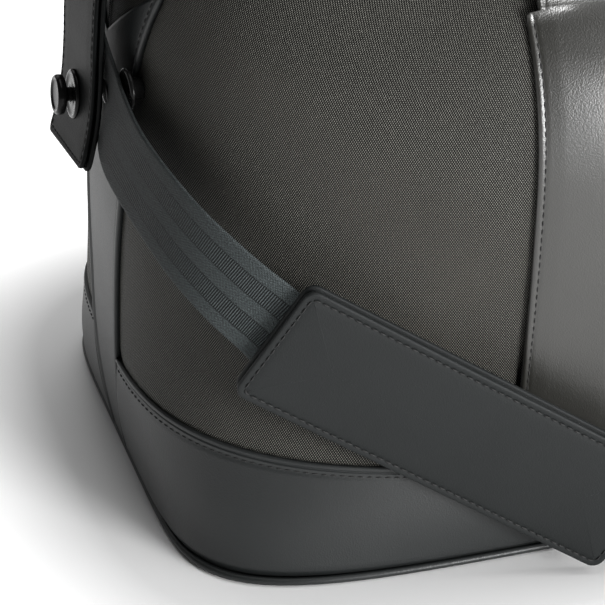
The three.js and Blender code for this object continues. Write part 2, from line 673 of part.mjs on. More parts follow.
function webbingSolid() {
  const stations = strapStations();
  const line = new THREE.CatmullRomCurve3(stations.map(([p]) => p), false, 'centripetal');
  const facing = new THREE.CatmullRomCurve3(stations.map(([, n]) => n), false, 'centripetal');
  const steps = (stations.length - 1) * 3;
  const loops = [];
  for (let i = 0; i <= steps; i += 1) {
    const p = line.getPoint(i / steps);
    const heading = line.getTangent(i / steps);
    const face = facing.getPoint(i / steps);
    const wide = face.clone().cross(heading).normalize().multiplyScalar(WEBBING.width / 2);
    const thick = heading.clone().cross(wide).normalize().multiplyScalar(WEBBING.thickness / 2);
    loops.push([p.clone().sub(wide).sub(thick), p.clone().add(wide).sub(thick),
      p.clone().add(wide).add(thick), p.clone().sub(wide).add(thick)]);
  }
  const hole = toSolid(tubeAlong('x', STUD.neck + FIT, 700,
    [0, STRAP_STUD.y, STRAP_STUD.z]));
  return toSolid(sweep(loops)).subtract(hole);
}

function padPlate(low, high, width0, width1) {
  const basis = new THREE.Matrix4().makeBasis(along, across, outward);
  basis.setPosition(padAt(0));
  const points = roundedLoop(PAD.length, PAD.width, PAD.corner);
  const clip = ([x, y]) => v3(x, Math.min(Math.max(y, width0), width1), 0);
  const loops = [low, high].map((h) => points.map((q) => clip(q).setZ(h)));
  return toSolid(sweep(loops).applyMatrix4(basis));
}

function makeStrap() {
  add('strap_webbing', toGeometry(webbingSolid()), WEB_FINISH);
  const inner = WEBBING.thickness / 2 + FIT;
  const half = PAD.width / 2;
  add('pad_front', toGeometry(padPlate(inner, inner + PAD.thickness, -half, half)), LEATHER);
  const back = padPlate(-inner - PAD.thickness, -inner, -half, half)
    .add(padPlate(-inner - 0.5, inner - FIT, half - PAD.rail, half))
    .add(padPlate(-inner - 0.5, inner - FIT, -half, -half + PAD.rail));
  add('pad_back', toGeometry(back), LEATHER);
}

makeBase();
makePanels();
makeLining();
makeZip();
makeSliders();
makeHandles();
makeTabs();
makeStrapStuds();
makeStrap();

export default bag;
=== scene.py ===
"""Looks of a weekender bag: woven body, smooth leather trim, studs, webbing strap and pad."""

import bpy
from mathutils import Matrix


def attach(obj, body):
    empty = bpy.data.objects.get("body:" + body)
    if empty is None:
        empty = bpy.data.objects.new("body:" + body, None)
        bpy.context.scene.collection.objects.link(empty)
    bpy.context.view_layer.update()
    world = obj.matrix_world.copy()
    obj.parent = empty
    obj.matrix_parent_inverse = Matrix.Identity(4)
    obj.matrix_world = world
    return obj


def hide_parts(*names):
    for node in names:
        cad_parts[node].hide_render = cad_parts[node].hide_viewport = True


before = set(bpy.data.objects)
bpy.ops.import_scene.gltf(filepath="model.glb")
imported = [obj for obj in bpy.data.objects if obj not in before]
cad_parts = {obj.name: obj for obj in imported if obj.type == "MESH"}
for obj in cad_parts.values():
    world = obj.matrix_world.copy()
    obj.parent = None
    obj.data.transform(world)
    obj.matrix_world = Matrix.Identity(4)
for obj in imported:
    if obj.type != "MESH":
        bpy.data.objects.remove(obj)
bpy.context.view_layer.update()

import logging
import math
from dataclasses import dataclass
from enum import Enum

import bpy
import numpy as np
from mathutils import Vector

logging.basicConfig(level=logging.INFO, format="%(message)s")
LOG = logging.getLogger("bag")
MM = 0.001
Array = np.ndarray


# ---- shader expressions ----------------------------------------------------------------------
class Value:
    """A number socket that can be used in ordinary arithmetic."""

    def __init__(self, maker: "ShaderMaker", socket: bpy.types.NodeSocket) -> None:
        """Wraps a socket.

        Args:
            maker: the material being built.
            socket: the output that carries the number.
        """
        self.maker = maker
        self.socket = socket

    def _math(self, operation: str, a: object, b: object = 0.0) -> "Value":
        """Adds one Math node and returns its result."""
        return self.maker.node("ShaderNodeMath", {"operation": operation}, {0: a, 1: b})

    def __add__(self, other: object) -> "Value":
        """self + other."""
        return self._math("ADD", self, other)

    def __radd__(self, other: object) -> "Value":
        """other + self."""
        return self._math("ADD", other, self)

    def __sub__(self, other: object) -> "Value":
        """self - other."""
        return self._math("SUBTRACT", self, other)

    def __rsub__(self, other: object) -> "Value":
        """other - self."""
        return self._math("SUBTRACT", other, self)

    def __mul__(self, other: object) -> "Value":
        """self * other."""
        return self._math("MULTIPLY", self, other)

    def __rmul__(self, other: object) -> "Value":
        """other * self."""
        return self._math("MULTIPLY", other, self)

    def __truediv__(self, other: object) -> "Value":
        """self / other."""
        return self._math("DIVIDE", self, other)

    def __pow__(self, other: object) -> "Value":
        """self ** other."""
        return self._math("POWER", self, other)

    def sine(self) -> "Value":
        """Sine of the value, in radians."""
        return self._math("SINE", self)

    def absolute(self) -> "Value":
        """Size of the value without its sign."""
        return self._math("ABSOLUTE", self)

    def greater(self, other: object) -> "Value":
        """1 where the value is larger than other, else 0."""
        return self._math("GREATER_THAN", self, other)

    def at_least(self, other: object) -> "Value":
        """The larger of the value and other."""
        return self._math("MAXIMUM", self, other)

    def at_most(self, other: object) -> "Value":
        """The smaller of the value and other."""
        return self._math("MINIMUM", self, other)


class ShaderMaker:
    """Builds one node material."""

    def __init__(self, name: str) -> None:
        """Starts an empty material.

        Args:
            name: the material's name.
        """
        self.material = bpy.data.materials.new(f"{name}_look")
        self.material.use_nodes = True
        self.tree = self.material.node_tree
        self.tree.nodes.clear()

    def node(self, kind: str, settings: dict, inputs: dict, output: object = 0) -> Value:
        """Adds a node.

        Args:
            kind: the node's type name.
            settings: attributes set before the inputs.
            inputs: socket name or number to value or link.
            output: the output socket's name or number.

        Returns:
            The chosen output as a Value.
        """
        made = self.tree.nodes.new(kind)
        for key, value in settings.items():
            setattr(made, key, value)
        for key, value in inputs.items():
            target = made.inputs[key]
            if isinstance(value, Value):
                self.tree.links.new(value.socket, target)
            else:
                target.default_value = value
        return Value(self, made.outputs[output])

    def mix_colour(self, share: object, low: object, high: object) -> Value:
        """Mixes two colours.

        Args:
            share: how much of the second colour shows.
            low: first colour.
            high: second colour.

        Returns:
            The mixed colour.
        """
        settings = {"data_type": "RGBA"}
        return self.node("ShaderNodeMix", settings, {0: share, 6: low, 7: high}, 2)

    def noise(self, vector: Value, scale: float, detail: float = 2.0) -> Value:
        """A noise value of the given scale."""
        inputs = {"Vector": vector, "Scale": scale, "Detail": detail}
        return self.node("ShaderNodeTexNoise", {}, inputs, 0)

    def place(self) -> Value:
        """Object coordinates, in metres."""
        return self.node("ShaderNodeTexCoord", {}, {}, "Object")

    def part(self, vector: Value, index: int) -> Value:
        """One coordinate of a vector."""
        return self.node("ShaderNodeSeparateXYZ", {}, {0: vector}, index)

    def uv(self) -> tuple[Value, Value, Value]:
        """The cloth coordinates, in metres: along, across, and both as a vector."""
        both = self.node("ShaderNodeUVMap", {"uv_map": "cloth"}, {})
        return self.part(both, 0), self.part(both, 1), both

    def bump(self, height: Value, distance: float, strength: float = 1.0) -> Value:
        """A Bump node from a height of 0 to 1 and its real depth in metres."""
        inputs = {"Height": height, "Distance": distance, "Strength": strength}
        return self.node("ShaderNodeBump", {}, inputs, 0)

    def finish(self, inputs: dict) -> bpy.types.Material:
        """Ends the material with a principled surface.

        Args:
            inputs: socket name to value or link.

        Returns:
            The finished material.
        """
        surface = self.node("ShaderNodeBsdfPrincipled", {}, inputs, 0)
        out = self.tree.nodes.new("ShaderNodeOutputMaterial")
        self.tree.links.new(surface.socket, out.inputs["Surface"])
        return self.material


def grey(level: float, warm: float = 0.0) -> tuple[float, float, float, float]:
    """A near-grey colour, more yellow for `warm` above 0 and more blue-green below it."""
    red, blue = (0.2, 1.6) if warm > 0 else (2.0, 0.3)
    return (level * (1 + red * warm), level, level * (1 - blue * warm), 1.0)


# ---- finishes --------------------------------------------------------------------------------
@dataclass(frozen=True)
class WovenNylon:
    """Heavy basket-woven nylon."""

    name: str
    dark: float = 0.002
    light: float = 0.2
    yarn: float = 0.78 * MM
    fine_yarn: float = 0.51 * MM
    depth: float = 0.35 * MM

    def build(self) -> bpy.types.Material:
        """Builds the material.

        Returns:
            A weave of crossing yarns in the cloth coordinates, coloured by yarn height: partly the
            weave's own pattern, partly painted highlight on the yarn tops and painted shade
            between.
        """
        m = ShaderMaker(self.name)
        u, v, both = m.uv()
        crossing = (u * (math.pi / self.fine_yarn)).sine() * (v * (math.pi / self.yarn)).sine()
        yarns = (crossing * 3.2 - 0.4).at_least(0.0).at_most(1.0)
        uneven = m.noise(both, 900.0, 1.0)
        height = yarns * (uneven * 0.6 + 0.55)
        patches = m.noise(both, 14.0, 2.0)
        # Painted light and shade: the colour follows yarn height, so the yarn tops are lighter and
        # the gaps darker than the dye alone.
        tone = height * (patches * 0.35 + 0.6)
        colour = m.mix_colour(tone, grey(self.dark, 0.05), grey(self.light, 0.07))
        return m.finish({
            "Base Color": colour,
            "Roughness": yarns * -0.12 + 0.62,
            "Normal": m.bump(height, self.depth),
            "Specular IOR Level": 0.12,
        })


@dataclass(frozen=True)
class Leather:
    """Smooth matt leather with a very fine grain."""

    name: str
    level: float = 0.011
    roughness: float = 0.46
    warm: float = -0.07
    specular: float = 0.42

    def build(self) -> bpy.types.Material:
        """Builds the material.

        Returns:
            Leather with fine pores, soft mottling and slightly uneven sheen.
        """
        m = ShaderMaker(self.name)
        place = m.place()
        grain = m.node("ShaderNodeTexVoronoi", {"feature": "SMOOTH_F1"},
                       {"Vector": place, "Scale": 1500.0, "Smoothness": 0.6}, 0)
        fibres = m.noise(place, 2600.0, 2.0)
        mottle = m.noise(place, 26.0, 3.0)
        wear = m.noise(place, 90.0, 2.0)
        height = grain * 0.7 + fibres * 0.3
        colour = m.mix_colour(mottle * 0.7 + wear * 0.2, grey(self.level * 0.78, self.warm),
                              grey(self.level * 1.25, self.warm))
        return m.finish({
            "Base Color": colour,
            "Roughness": mottle * 0.08 + grain * 0.06 + (self.roughness - 0.06),
            "Normal": m.bump(height, 0.09 * MM),
            "Specular IOR Level": self.specular,
        })


@dataclass(frozen=True)
class Webbing:
    """Woven webbing with two ribbed stripes between smooth ones."""

    name: str
    width: float = 38 * MM
    length: float = 0.92

    def build(self) -> bpy.types.Material:
        """Builds the material.

        Returns:
            Ribs across the strap, banded along it, and darker towards both ends as painted shade.
        """
        m = ShaderMaker(self.name)
        u, v, both = m.uv()
        across = (v / (self.width / 2)).absolute()
        inner = across.greater(0.2)
        ribbed = inner * (1 - across.greater(0.62))
        grooves = ((across - 0.2).absolute().at_most((across - 0.62).absolute()) * 40).at_most(1.0)
        ribs = (u * (math.pi / (0.52 * MM))).sine() * 0.5 + 0.5
        fine = (u * (math.pi / (0.4 * MM))).sine() * (v * (math.pi / (0.6 * MM))).sine()
        plain = fine * 0.35 + 0.5
        thread = m.noise(both, 1200.0, 2.0)
        height = (ribs * ribbed + plain * (1 - ribbed)) * (thread * 1.5 - 0.05)
        # Painted shade: the colour darkens within about 0.22 m of each end of the webbing, by the
        # studs.
        end = self.length / 2
        painted_shade = ((end - (u - end).absolute()) * 4.6).at_most(1.0) ** 1.5 * 0.93 + 0.07
        tone = height * (grooves * 0.8 + 0.2) * (1.15 - ribbed * 0.25) * painted_shade
        colour = m.mix_colour(tone, grey(0.002, -0.06), grey(0.19, -0.08))
        return m.finish({
            "Base Color": colour,
            "Roughness": height * -0.12 + 0.6,
            "Normal": m.bump(height, 0.5 * MM),
            "Specular IOR Level": 0.15,
        })


@dataclass(frozen=True)
class BlackMetal:
    """Gloss black coated metal."""

    name: str
    level: float = 0.003
    roughness: float = 0.16

    def build(self) -> bpy.types.Material:
        """Builds the material.

        Returns:
            A dark coat with faint rub marks.
        """
        m = ShaderMaker(self.name)
        place = m.place()
        rub = m.noise(place, 320.0, 3.0)
        colour = m.mix_colour(rub, grey(self.level), grey(self.level * 2.4))
        return m.finish({
            "Base Color": colour,
            "Roughness": rub * 0.14 + (self.roughness - 0.04),
            "Normal": m.bump(rub, 0.02 * MM),
            "Specular IOR Level": 0.1,
        })


@dataclass(frozen=True)
class PlainCloth:
    """Thread, lining, tape and board: a plain fine weave."""

    name: str
    level: float
    warm: float = 0.0
    pitch: float = 0.8 * MM

    def build(self) -> bpy.types.Material:
        """Builds the material.

        Returns:
            A fine plain weave in object coordinates.
        """
        m = ShaderMaker(self.name)
        place = m.place()
        x, y, z = (m.part(place, index) for index in range(3))
        turn = math.pi / self.pitch
        weave = ((x + z) * turn).sine() * ((y - z) * turn).sine() * 0.5 + 0.5
        spots = m.noise(place, 60.0, 2.0)
        colour = m.mix_colour(weave * 0.6 + spots * 0.4, grey(self.level * 0.6, self.warm),
                              grey(self.level * 1.4, self.warm))
        return m.finish({
            "Base Color": colour,
            "Roughness": weave * 0.1 + 0.7,
            "Normal": m.bump(weave, 0.1 * MM),
        })


MADE: dict["Finish", bpy.types.Material] = {}


class Finish(Enum):
    """Every finish on the bag, and what it is made of."""

    WOVEN = WovenNylon("woven_nylon")
    ZIP_PANEL = WovenNylon("woven_nylon_fine", dark=0.003, light=0.09, yarn=0.6 * MM,
                           fine_yarn=0.45 * MM)
    LEATHER = Leather("smooth_leather")
    BAND = Leather("band_leather", level=0.012, roughness=0.34, specular=0.68, warm=0.1)
    PAD = Leather("pad_leather", level=0.009, roughness=0.6, specular=0.2)
    # A darker, less shiny copy of the smooth leather for the end tabs; its darker colour is painted
    # shade.
    SHADED_TAB = Leather("tab_leather_painted_shade", level=0.0025, roughness=0.5, specular=0.05)
    EDGE = Leather("leather_edge", level=0.012, roughness=0.42)
    WEBBING = Webbing("webbing")
    METAL = BlackMetal("black_metal")
    THREAD = PlainCloth("thread", level=0.006, pitch=0.3 * MM)
    TAPE = PlainCloth("zip_tape", level=0.012)
    TEETH = BlackMetal("zip_teeth", level=0.01, roughness=0.3)
    LINING = PlainCloth("lining_cloth", level=0.05)
    BOARD = PlainCloth("stiffener_board", level=0.12, warm=0.08, pitch=2 * MM)

    @property
    def material(self) -> bpy.types.Material:
        """The finish's material, built the first time it is asked for.

        Returns:
            The material.
        """
        if self not in MADE:
            MADE[self] = self.value.build()
        return MADE[self]


# ---- lines and meshes ------------------------------------------------------------------------
def unit(v: Array) -> Array:
    """Vectors of length one along the last axis."""
    return v / np.maximum(np.linalg.norm(v, axis=-1, keepdims=True), 1e-12)


def running(line: Array) -> Array:
    """Distance along a line at each of its points."""
    return np.concatenate([[0], np.cumsum(np.linalg.norm(np.diff(line, axis=0), axis=1))])


def resample(points: Array, step: float) -> Array:
    """Spaces points evenly along a line.

    Args:
        points: the line, N by 3.
        step: wanted spacing in metres.

    Returns:
        The evenly spaced line with both ends kept.
    """
    run = running(points)
    count = max(int(round(run[-1] / step)), 2)
    at = np.linspace(0, run[-1], count + 1)
    return np.stack([np.interp(at, run, points[:, k]) for k in range(3)], 1)


def smooth_line(controls: list, per: int = 12) -> Array:
    """A Catmull-Rom line through control points of any dimension.

    Args:
        controls: the points.
        per: samples for each span.

    Returns:
        The sampled line.
    """
    p = np.array(controls, float)
    p = np.vstack([2 * p[0] - p[1], p, 2 * p[-1] - p[-2]])
    out = []
    for i in range(1, len(p) - 2):
        t = np.linspace(0, 1, per, endpoint=False)[:, None]
        a, b, c, d = p[i - 1], p[i], p[i + 1], p[i + 2]
        out.append(0.5 * (2 * b + (c - a) * t + (2 * a - 5 * b + 4 * c - d) * t ** 2
                          + (3 * b - a - 3 * c + d) * t ** 3))
    return np.vstack([*out, p[-2][None]])


def headings(points: Array) -> Array:
    """The direction of a line at each of its points."""
    return unit(np.gradient(points, axis=0))


def new_object(name: str, verts: Array, faces: list, finish: Finish,
               uv: Array | None = None) -> bpy.types.Object:
    """Makes a smooth-shaded mesh object.

    Args:
        name: the piece's name.
        verts: N by 3 points in metres.
        faces: lists of vertex numbers.
        finish: what it is made of.
        uv: cloth coordinates for each vertex, or None.

    Returns:
        The new object.
    """
    mesh = bpy.data.meshes.new(name)
    mesh.from_pydata(verts.tolist(), [], faces)
    mesh.update()
    mesh.polygons.foreach_set("use_smooth", [True] * len(mesh.polygons))
    if uv is not None:
        layer = mesh.uv_layers.new(name="cloth")
        loops = np.empty(len(mesh.loops), int)
        mesh.loops.foreach_get("vertex_index", loops)
        layer.data.foreach_set("uv", uv[loops].astype(np.float32).ravel())
    obj = bpy.data.objects.new(name, mesh)
    bpy.context.scene.collection.objects.link(obj)
    mesh.materials.append(finish.material)
    return obj


def grid_faces(rows: int, cols: int, start: int = 0, wrap: bool = False,
               flip: bool = False) -> list:
    """Quads of a grid of vertices.

    Args:
        rows: number of rows.
        cols: number of columns.
        start: number of the first vertex.
        wrap: whether the last column joins the first.
        flip: whether to turn the faces over.

    Returns:
        The faces.
    """
    i, j = np.meshgrid(np.arange(rows - 1), np.arange(cols if wrap else cols - 1),
                       indexing="ij")
    k = (j + 1) % cols
    quads = np.stack([i * cols + j, i * cols + k, (i + 1) * cols + k, (i + 1) * cols + j],
                     -1).reshape(-1, 4) + start
    return (quads[:, ::-1] if flip else quads).tolist()


def slab(name: str, outer: Array, inner: Array, finish: Finish,
         uv: Array | None = None) -> bpy.types.Object:
    """A closed sheet between an outer and an inner grid of points.

    Args:
        name: the piece's name.
        outer: rows by cols by 3, the side that is seen.
        inner: the same for the hidden side.
        finish: what it is made of.
        uv: rows by cols by 2 cloth coordinates.

    Returns:
        The new object.
    """
    rows, cols = outer.shape[:2]
    size = rows * cols
    verts = np.vstack([outer.reshape(-1, 3), inner.reshape(-1, 3)])
    faces = grid_faces(rows, cols) + grid_faces(rows, cols, size, flip=True)
    rim = ([j for j in range(cols)] + [i * cols + cols - 1 for i in range(1, rows)]
           + [(rows - 1) * cols + j for j in range(cols - 2, -1, -1)]
           + [i * cols for i in range(rows - 2, 0, -1)])
    for a, b in zip(rim, rim[1:] + rim[:1]):
        faces.append([b, a, a + size, b + size])
    both = None if uv is None else np.vstack([uv.reshape(-1, 2)] * 2)
    obj = new_object(name, verts, faces, finish, both)
    face_outward(obj)
    return obj


def face_outward(obj: bpy.types.Object) -> None:
    """Turns a closed mesh's faces to look out of it.

    Args:
        obj: the mesh object.
    """
    mesh = obj.data
    mesh.calc_loop_triangles()
    co = np.array([v.co for v in mesh.vertices])
    tri = np.array([t.vertices for t in mesh.loop_triangles])
    a, b, c = co[tri[:, 0]], co[tri[:, 1]], co[tri[:, 2]]
    if np.einsum("ij,ij->i", a, np.cross(b, c)).sum() < 0:
        mesh.flip_normals()


def sweep(name: str, loops: Array, finish: Finish, closed: bool = False,
          uv: Array | None = None) -> bpy.types.Object:
    """Joins section loops along a line into one closed piece.

    Args:
        name: the piece's name.
        loops: stations by section points by 3.
        finish: what it is made of.
        closed: whether the last station joins the first.
        uv: stations by section points by 2, or None.

    Returns:
        The new object.
    """
    rows, cols = loops.shape[:2]
    if closed:
        quads = np.array(grid_faces(rows + 1, cols, wrap=True))
        faces = (quads % (rows * cols)).tolist()
    else:
        faces = grid_faces(rows, cols, wrap=True)
        faces += [list(range(cols))[::-1], list(range((rows - 1) * cols, rows * cols))]
    flat = None if uv is None else uv.reshape(-1, 2)
    obj = new_object(name, loops.reshape(-1, 3), faces, finish, flat)
    face_outward(obj)
    return obj


def round_cord(name: str, line: Array, radius: float, finish: Finish, facing: Array,
               closed: bool = False, flat: float = 1.0, sides: int = 12) -> bpy.types.Object:
    """A cord or bead along a line.

    Args:
        name: the piece's name.
        line: N by 3.
        radius: half its width.
        finish: what it is made of.
        facing: N by 3 or 3, the way its top looks.
        closed: whether the line is a loop.
        flat: height as a share of the width.
        sides: points round the section.

    Returns:
        The new object.
    """
    if closed:
        along = unit(np.roll(line, -1, 0) - np.roll(line, 1, 0))
    else:
        along = headings(line)
    side = unit(np.cross(along, np.broadcast_to(facing, line.shape)))
    top = np.cross(side, along)
    angle = np.linspace(0, 2 * math.pi, sides, endpoint=False)
    loops = (line[:, None] + radius * np.cos(angle)[None, :, None] * side[:, None]
             + radius * flat * np.sin(angle)[None, :, None] * top[:, None])
    return sweep(name, loops, finish, closed)


@dataclass(frozen=True)
class Stitching:
    """A run of lockstitch."""

    pitch: float = 3.9 * MM
    length: float = 3.0 * MM
    radius: float = 0.36 * MM
    sink: float = 0.18 * MM

    def run(self, name: str, line: Array, facing: Array) -> bpy.types.Object:
        """Sews along a line.

        Args:
            name: the piece's name.
            line: N by 3, on the surface.
            facing: N by 3, the surface's outward direction.

        Returns:
            One object that holds all the stitches.
        """
        run = running(line)
        starts = np.arange(self.pitch / 2, run[-1] - self.length, self.pitch)
        t = np.linspace(0, 1, 6)
        at = (starts[:, None] + t[None] * self.length).ravel()
        centre = np.stack([np.interp(at, run, line[:, k]) for k in range(3)], 1)
        up = unit(np.stack([np.interp(at, run, facing[:, k]) for k in range(3)], 1))
        along = unit(np.stack([np.interp(at, run, headings(line)[:, k]) for k in range(3)], 1))
        side = np.cross(along, up)
        arch = np.tile(np.sin(math.pi * t), len(starts))[:, None]
        centre = centre + up * (arch * self.radius - self.sink)
        thick = self.radius * (0.35 + 0.65 * arch ** 0.5)
        angle = np.linspace(0, 2 * math.pi, 6, endpoint=False)
        rings = (centre[:, None] + (thick * side)[:, None] * np.cos(angle)[None, :, None]
                 + (thick * up)[:, None] * np.sin(angle)[None, :, None])
        verts = rings.reshape(-1, 3)
        one = grid_faces(6, 6, wrap=True) + [[5, 4, 3, 2, 1, 0], list(range(30, 36))]
        faces = [[v + 36 * k for v in f] for k in range(len(starts)) for f in one]
        obj = new_object(name, verts, faces, Finish.THREAD)
        face_outward(obj)
        return obj


def turned(name: str, profile: list, place: Array, axis: Array, finish: Finish,
           segments: int = 64) -> bpy.types.Object:
    """A piece turned about an axis.

    Args:
        name: the piece's name.
        profile: (radius, height) pairs from axis to axis, or a closed ring.
        place: where height 0 is.
        axis: the way height grows.
        finish: what it is made of.
        segments: points round.

    Returns:
        The new object.
    """
    axis = unit(np.array(axis, float))
    side = unit(np.cross(axis, [0.0, 1.0, 0.2]))
    other = np.cross(axis, side)
    angle = np.linspace(0, 2 * math.pi, segments, endpoint=False)
    ring = np.cos(angle)[:, None] * side + np.sin(angle)[:, None] * other
    prof = np.array(profile, float)
    solid = prof[0, 0] < 1e-9
    if solid:
        prof[0, 0] = prof[-1, 0] = 1e-5
    loops = place + prof[:, 1][:, None, None] * axis + prof[:, 0][:, None, None] * ring[None]
    return sweep(name, loops, finish, closed=not solid)


def rounded(profile: list, radius: float, per: int = 4) -> list:
    """Rounds the inner corners of an open profile.

    Args:
        profile: (radius, height) pairs.
        radius: how much to round.
        per: points for each corner.

    Returns:
        The rounded profile.
    """
    p = np.array(profile, float)
    out = [p[0]]
    for a, b, c in zip(p[:-2], p[1:-1], p[2:]):
        back = min(radius, 0.45 * np.linalg.norm(a - b))
        on = min(radius, 0.45 * np.linalg.norm(c - b))
        start, end = b + unit(a - b) * back, b + unit(c - b) * on
        for t in np.linspace(0, 1, per):
            out.append((1 - t) ** 2 * start + 2 * t * (1 - t) * b + t ** 2 * end)
    out.append(p[-1])
    return [tuple(q) for q in out]


# ---- the filled body's shape -----------------------------------------------------------------
@dataclass(frozen=True)
class BagForm:
    """The shape the covers are sewn to. Lengths in metres."""

    half_length: float = 270 * MM
    half_depth: float = 140 * MM
    height: float = 300 * MM
    swell_length: float = 7 * MM
    swell_depth: float = 14 * MM
    square_base: float = 6.5
    square_top: float = 2.6
    square_fade: float = 34 * MM
    steady_x: float = 127 * MM
    steady_square: tuple[float, float] = (3.02, 45 * MM)
    band_middle: float = 50 * MM
    band_corner: float = 61 * MM
    v_low: float = 212 * MM
    v_slope: float = 0.7

    def table(self) -> Array:
        """Height, half-length and half-depth up the body, as a table.

        Returns:
            Rows of height, half-length and half-depth.
        """
        a, b, h = self.half_length, self.half_depth, self.height
        swell = [(0, -0.4, 0), (0.1, 0.25, 0.15), (0.2, 0.5, 0.22), (0.3, 0.5, 0.38),
                 (0.42, 0.4, 0.72), (0.53, 0.08, 0.93), (0.65, -0.35, 1), (0.74, -0.7, 0.68)]
        dome = [(0.81, 0.968, 1), (0.873, 0.948, 0.893), (0.927, 0.915, 0.743),
                (0.967, 0.874, 0.571), (0.99, 0.833, 0.414), (1, 0.793, 0.3)]
        rows = [(s * h, a + self.swell_length * x, b + self.swell_depth * y)
                for s, x, y in swell]
        rows += [(s * h, a * x, b * y) for s, x, y in dome]
        line = smooth_line(rows, 24)
        crown = [(h + 0.4 * MM, a * 0.6, b * 0.2), (h + 0.6 * MM, a * 0.02, b * 0.01)]
        return np.vstack([[(-20 * MM, rows[0][1], b)], line, crown])

    def section(self, z: Array) -> tuple[Array, Array, Array]:
        """Half-length, half-depth and squareness at height z.

        Args:
            z: height.

        Returns:
            The three, each shaped like z.
        """
        a, b = (np.interp(z, TABLE[:, 0], TABLE[:, k]) for k in (1, 2))
        n, was = (low + (self.square_base - low) * np.exp(-np.maximum(z, 0) / fade)
                  for low, fade in ((self.square_top, self.square_fade), self.steady_square))
        share = np.minimum(self.steady_x / a, 0.6)
        b = b * (1 - share ** was) ** (1 / was) / (1 - share ** n) ** (1 / n)
        return a, b, n

    def field(self, p: Array) -> Array:
        """Below 1 inside the body and above 1 outside."""
        a, b, n = self.section(p[..., 2])
        return np.abs(p[..., 0] / a) ** n + np.abs(p[..., 1] / b) ** n

    def normal(self, p: Array) -> Array:
        """The outward direction at points of the surface.

        Args:
            p: surface points.

        Returns:
            Directions of length one.
        """
        e = 0.6 * MM
        steps = [np.eye(3)[k] * e for k in range(3)]
        grad = np.stack([self.field(p + s) - self.field(p - s) for s in steps], -1)
        return unit(grad)

    def lift(self, p: Array, off: Array | float) -> Array:
        """Points moved off the surface by `off`."""
        return p + self.normal(p) * np.broadcast_to(np.asarray(off, float), p.shape[:-1])[..., None]

    def side_y(self, x: Array, z: Array) -> Array:
        """Half-depth of the surface at x and z."""
        a, b, n = self.section(z)
        return b * np.maximum(1 - np.abs(x / a) ** n, 0) ** (1 / n)

    def end_x(self, y: Array, z: Array) -> Array:
        """Half-length of the surface at y and z."""
        a, b, n = self.section(z)
        return a * np.maximum(1 - np.abs(y / b) ** n, 0) ** (1 / n)

    def polar(self, phi: Array, z: Array) -> Array:
        """The surface point at plan angle phi and height z.

        Args:
            phi: plan angle.
            z: height.

        Returns:
            The points.
        """
        a, b, n = self.section(z)
        r = (np.abs(np.cos(phi) / a) ** n + np.abs(np.sin(phi) / b) ** n) ** (-1 / n)
        return np.stack([r * np.cos(phi), r * np.sin(phi), z + 0 * r], -1)

    def gusset(self, z: Array) -> Array:
        """Half-width of the end gusset and zip panel at height z.

        Args:
            z: height.

        Returns:
            The half-width.
        """
        zs = np.array([0, 50, 95, 140, 196, 262, 400]) * MM
        ws = np.array([12, 21, 24, 30, 35.5, 55, 58]) * MM
        smooth = np.linspace(-9, 9, 7) * MM
        return np.mean([np.interp(z + s, zs, ws) for s in smooth], 0)

    def band_edge(self, x: Array) -> Array:
        """Height of the leather base's top edge at x."""
        share = np.minimum(np.abs(x) / self.half_length, 1)
        return self.band_middle + (self.band_corner - self.band_middle) * share ** 3

    def over(self, y: Array, turn: Array) -> Array:
        """The surface point seen from the body's middle at depth y and angle turn.

        Args:
            y: depth, which stays as it is.
            turn: angle in the length-height plane, 0 to the right and a quarter turn up.

        Returns:
            The points.
        """
        y, turn = np.broadcast_arrays(np.asarray(y, float), np.asarray(turn, float))
        low, high = np.zeros(y.shape), np.full(y.shape, 0.45)
        base = np.stack([np.zeros(y.shape), y, np.full(y.shape, 0.2)], -1)
        way = np.stack([np.cos(turn), np.zeros(y.shape), np.sin(turn)], -1)
        for _ in range(36):
            mid = (low + high) / 2
            p = base + way * mid[..., None]
            out = (self.field(p) > 1) | (p[..., 2] > self.height + 0.55 * MM)
            high = np.where(out, mid, high)
            low = np.where(out, low, mid)
        return base + way * low[..., None]

    def seam(self, side: float, inset: float, low: float) -> Array:
        """The line where a gusset and the zip panel meet a woven panel.

        Args:
            side: -1 for the front panel's seam and +1 for the back one's.
            inset: distance from the seam, towards the zip.
            low: height where the line starts and ends.

        Returns:
            The line from the left foot over the top to the right foot.
        """
        z = np.linspace(low, 262 * MM, 160)
        y = side * (self.gusset(z) - inset)
        rise = np.stack([-self.end_x(y, z), y, z], -1)
        start = math.atan2(62 * MM, -rise[-1, 0])
        turn = np.linspace(math.pi - start, start, 240)[1:-1]
        width = self.gusset(np.full(turn.shape, 262 * MM))
        for _ in range(3):
            top = self.over(side * (width - inset), turn)
            width = self.gusset(top[:, 2])
        fall = rise[::-1] * [-1, 1, 1]
        return resample(np.vstack([rise, top, fall]), 1.5 * MM)


FORM = BagForm()
TABLE = FORM.table()
COVER = 2.2 * MM
PROUD = 0.9 * MM


def smoothstep(x: Array) -> Array:
    """An S-curve from 0 to 1."""
    t = np.clip(x, 0, 1)
    return t * t * (3 - 2 * t)


def sag(p: Array, amount: float) -> Array:
    """Slow, even unevenness of filled cloth.

    Args:
        p: surface points.
        amount: largest rise or dip, in metres.

    Returns:
        The offset at each point.
    """
    x, y, z = p[..., 0], p[..., 1], p[..., 2]
    wave = (np.sin(x * 19 + z * 11 + 0.4) * 0.5 + np.sin(x * 7.3 - z * 23 + 1.7) * 0.3
            + np.sin(y * 31 + z * 17 + 2.1) * 0.2)
    return amount * wave


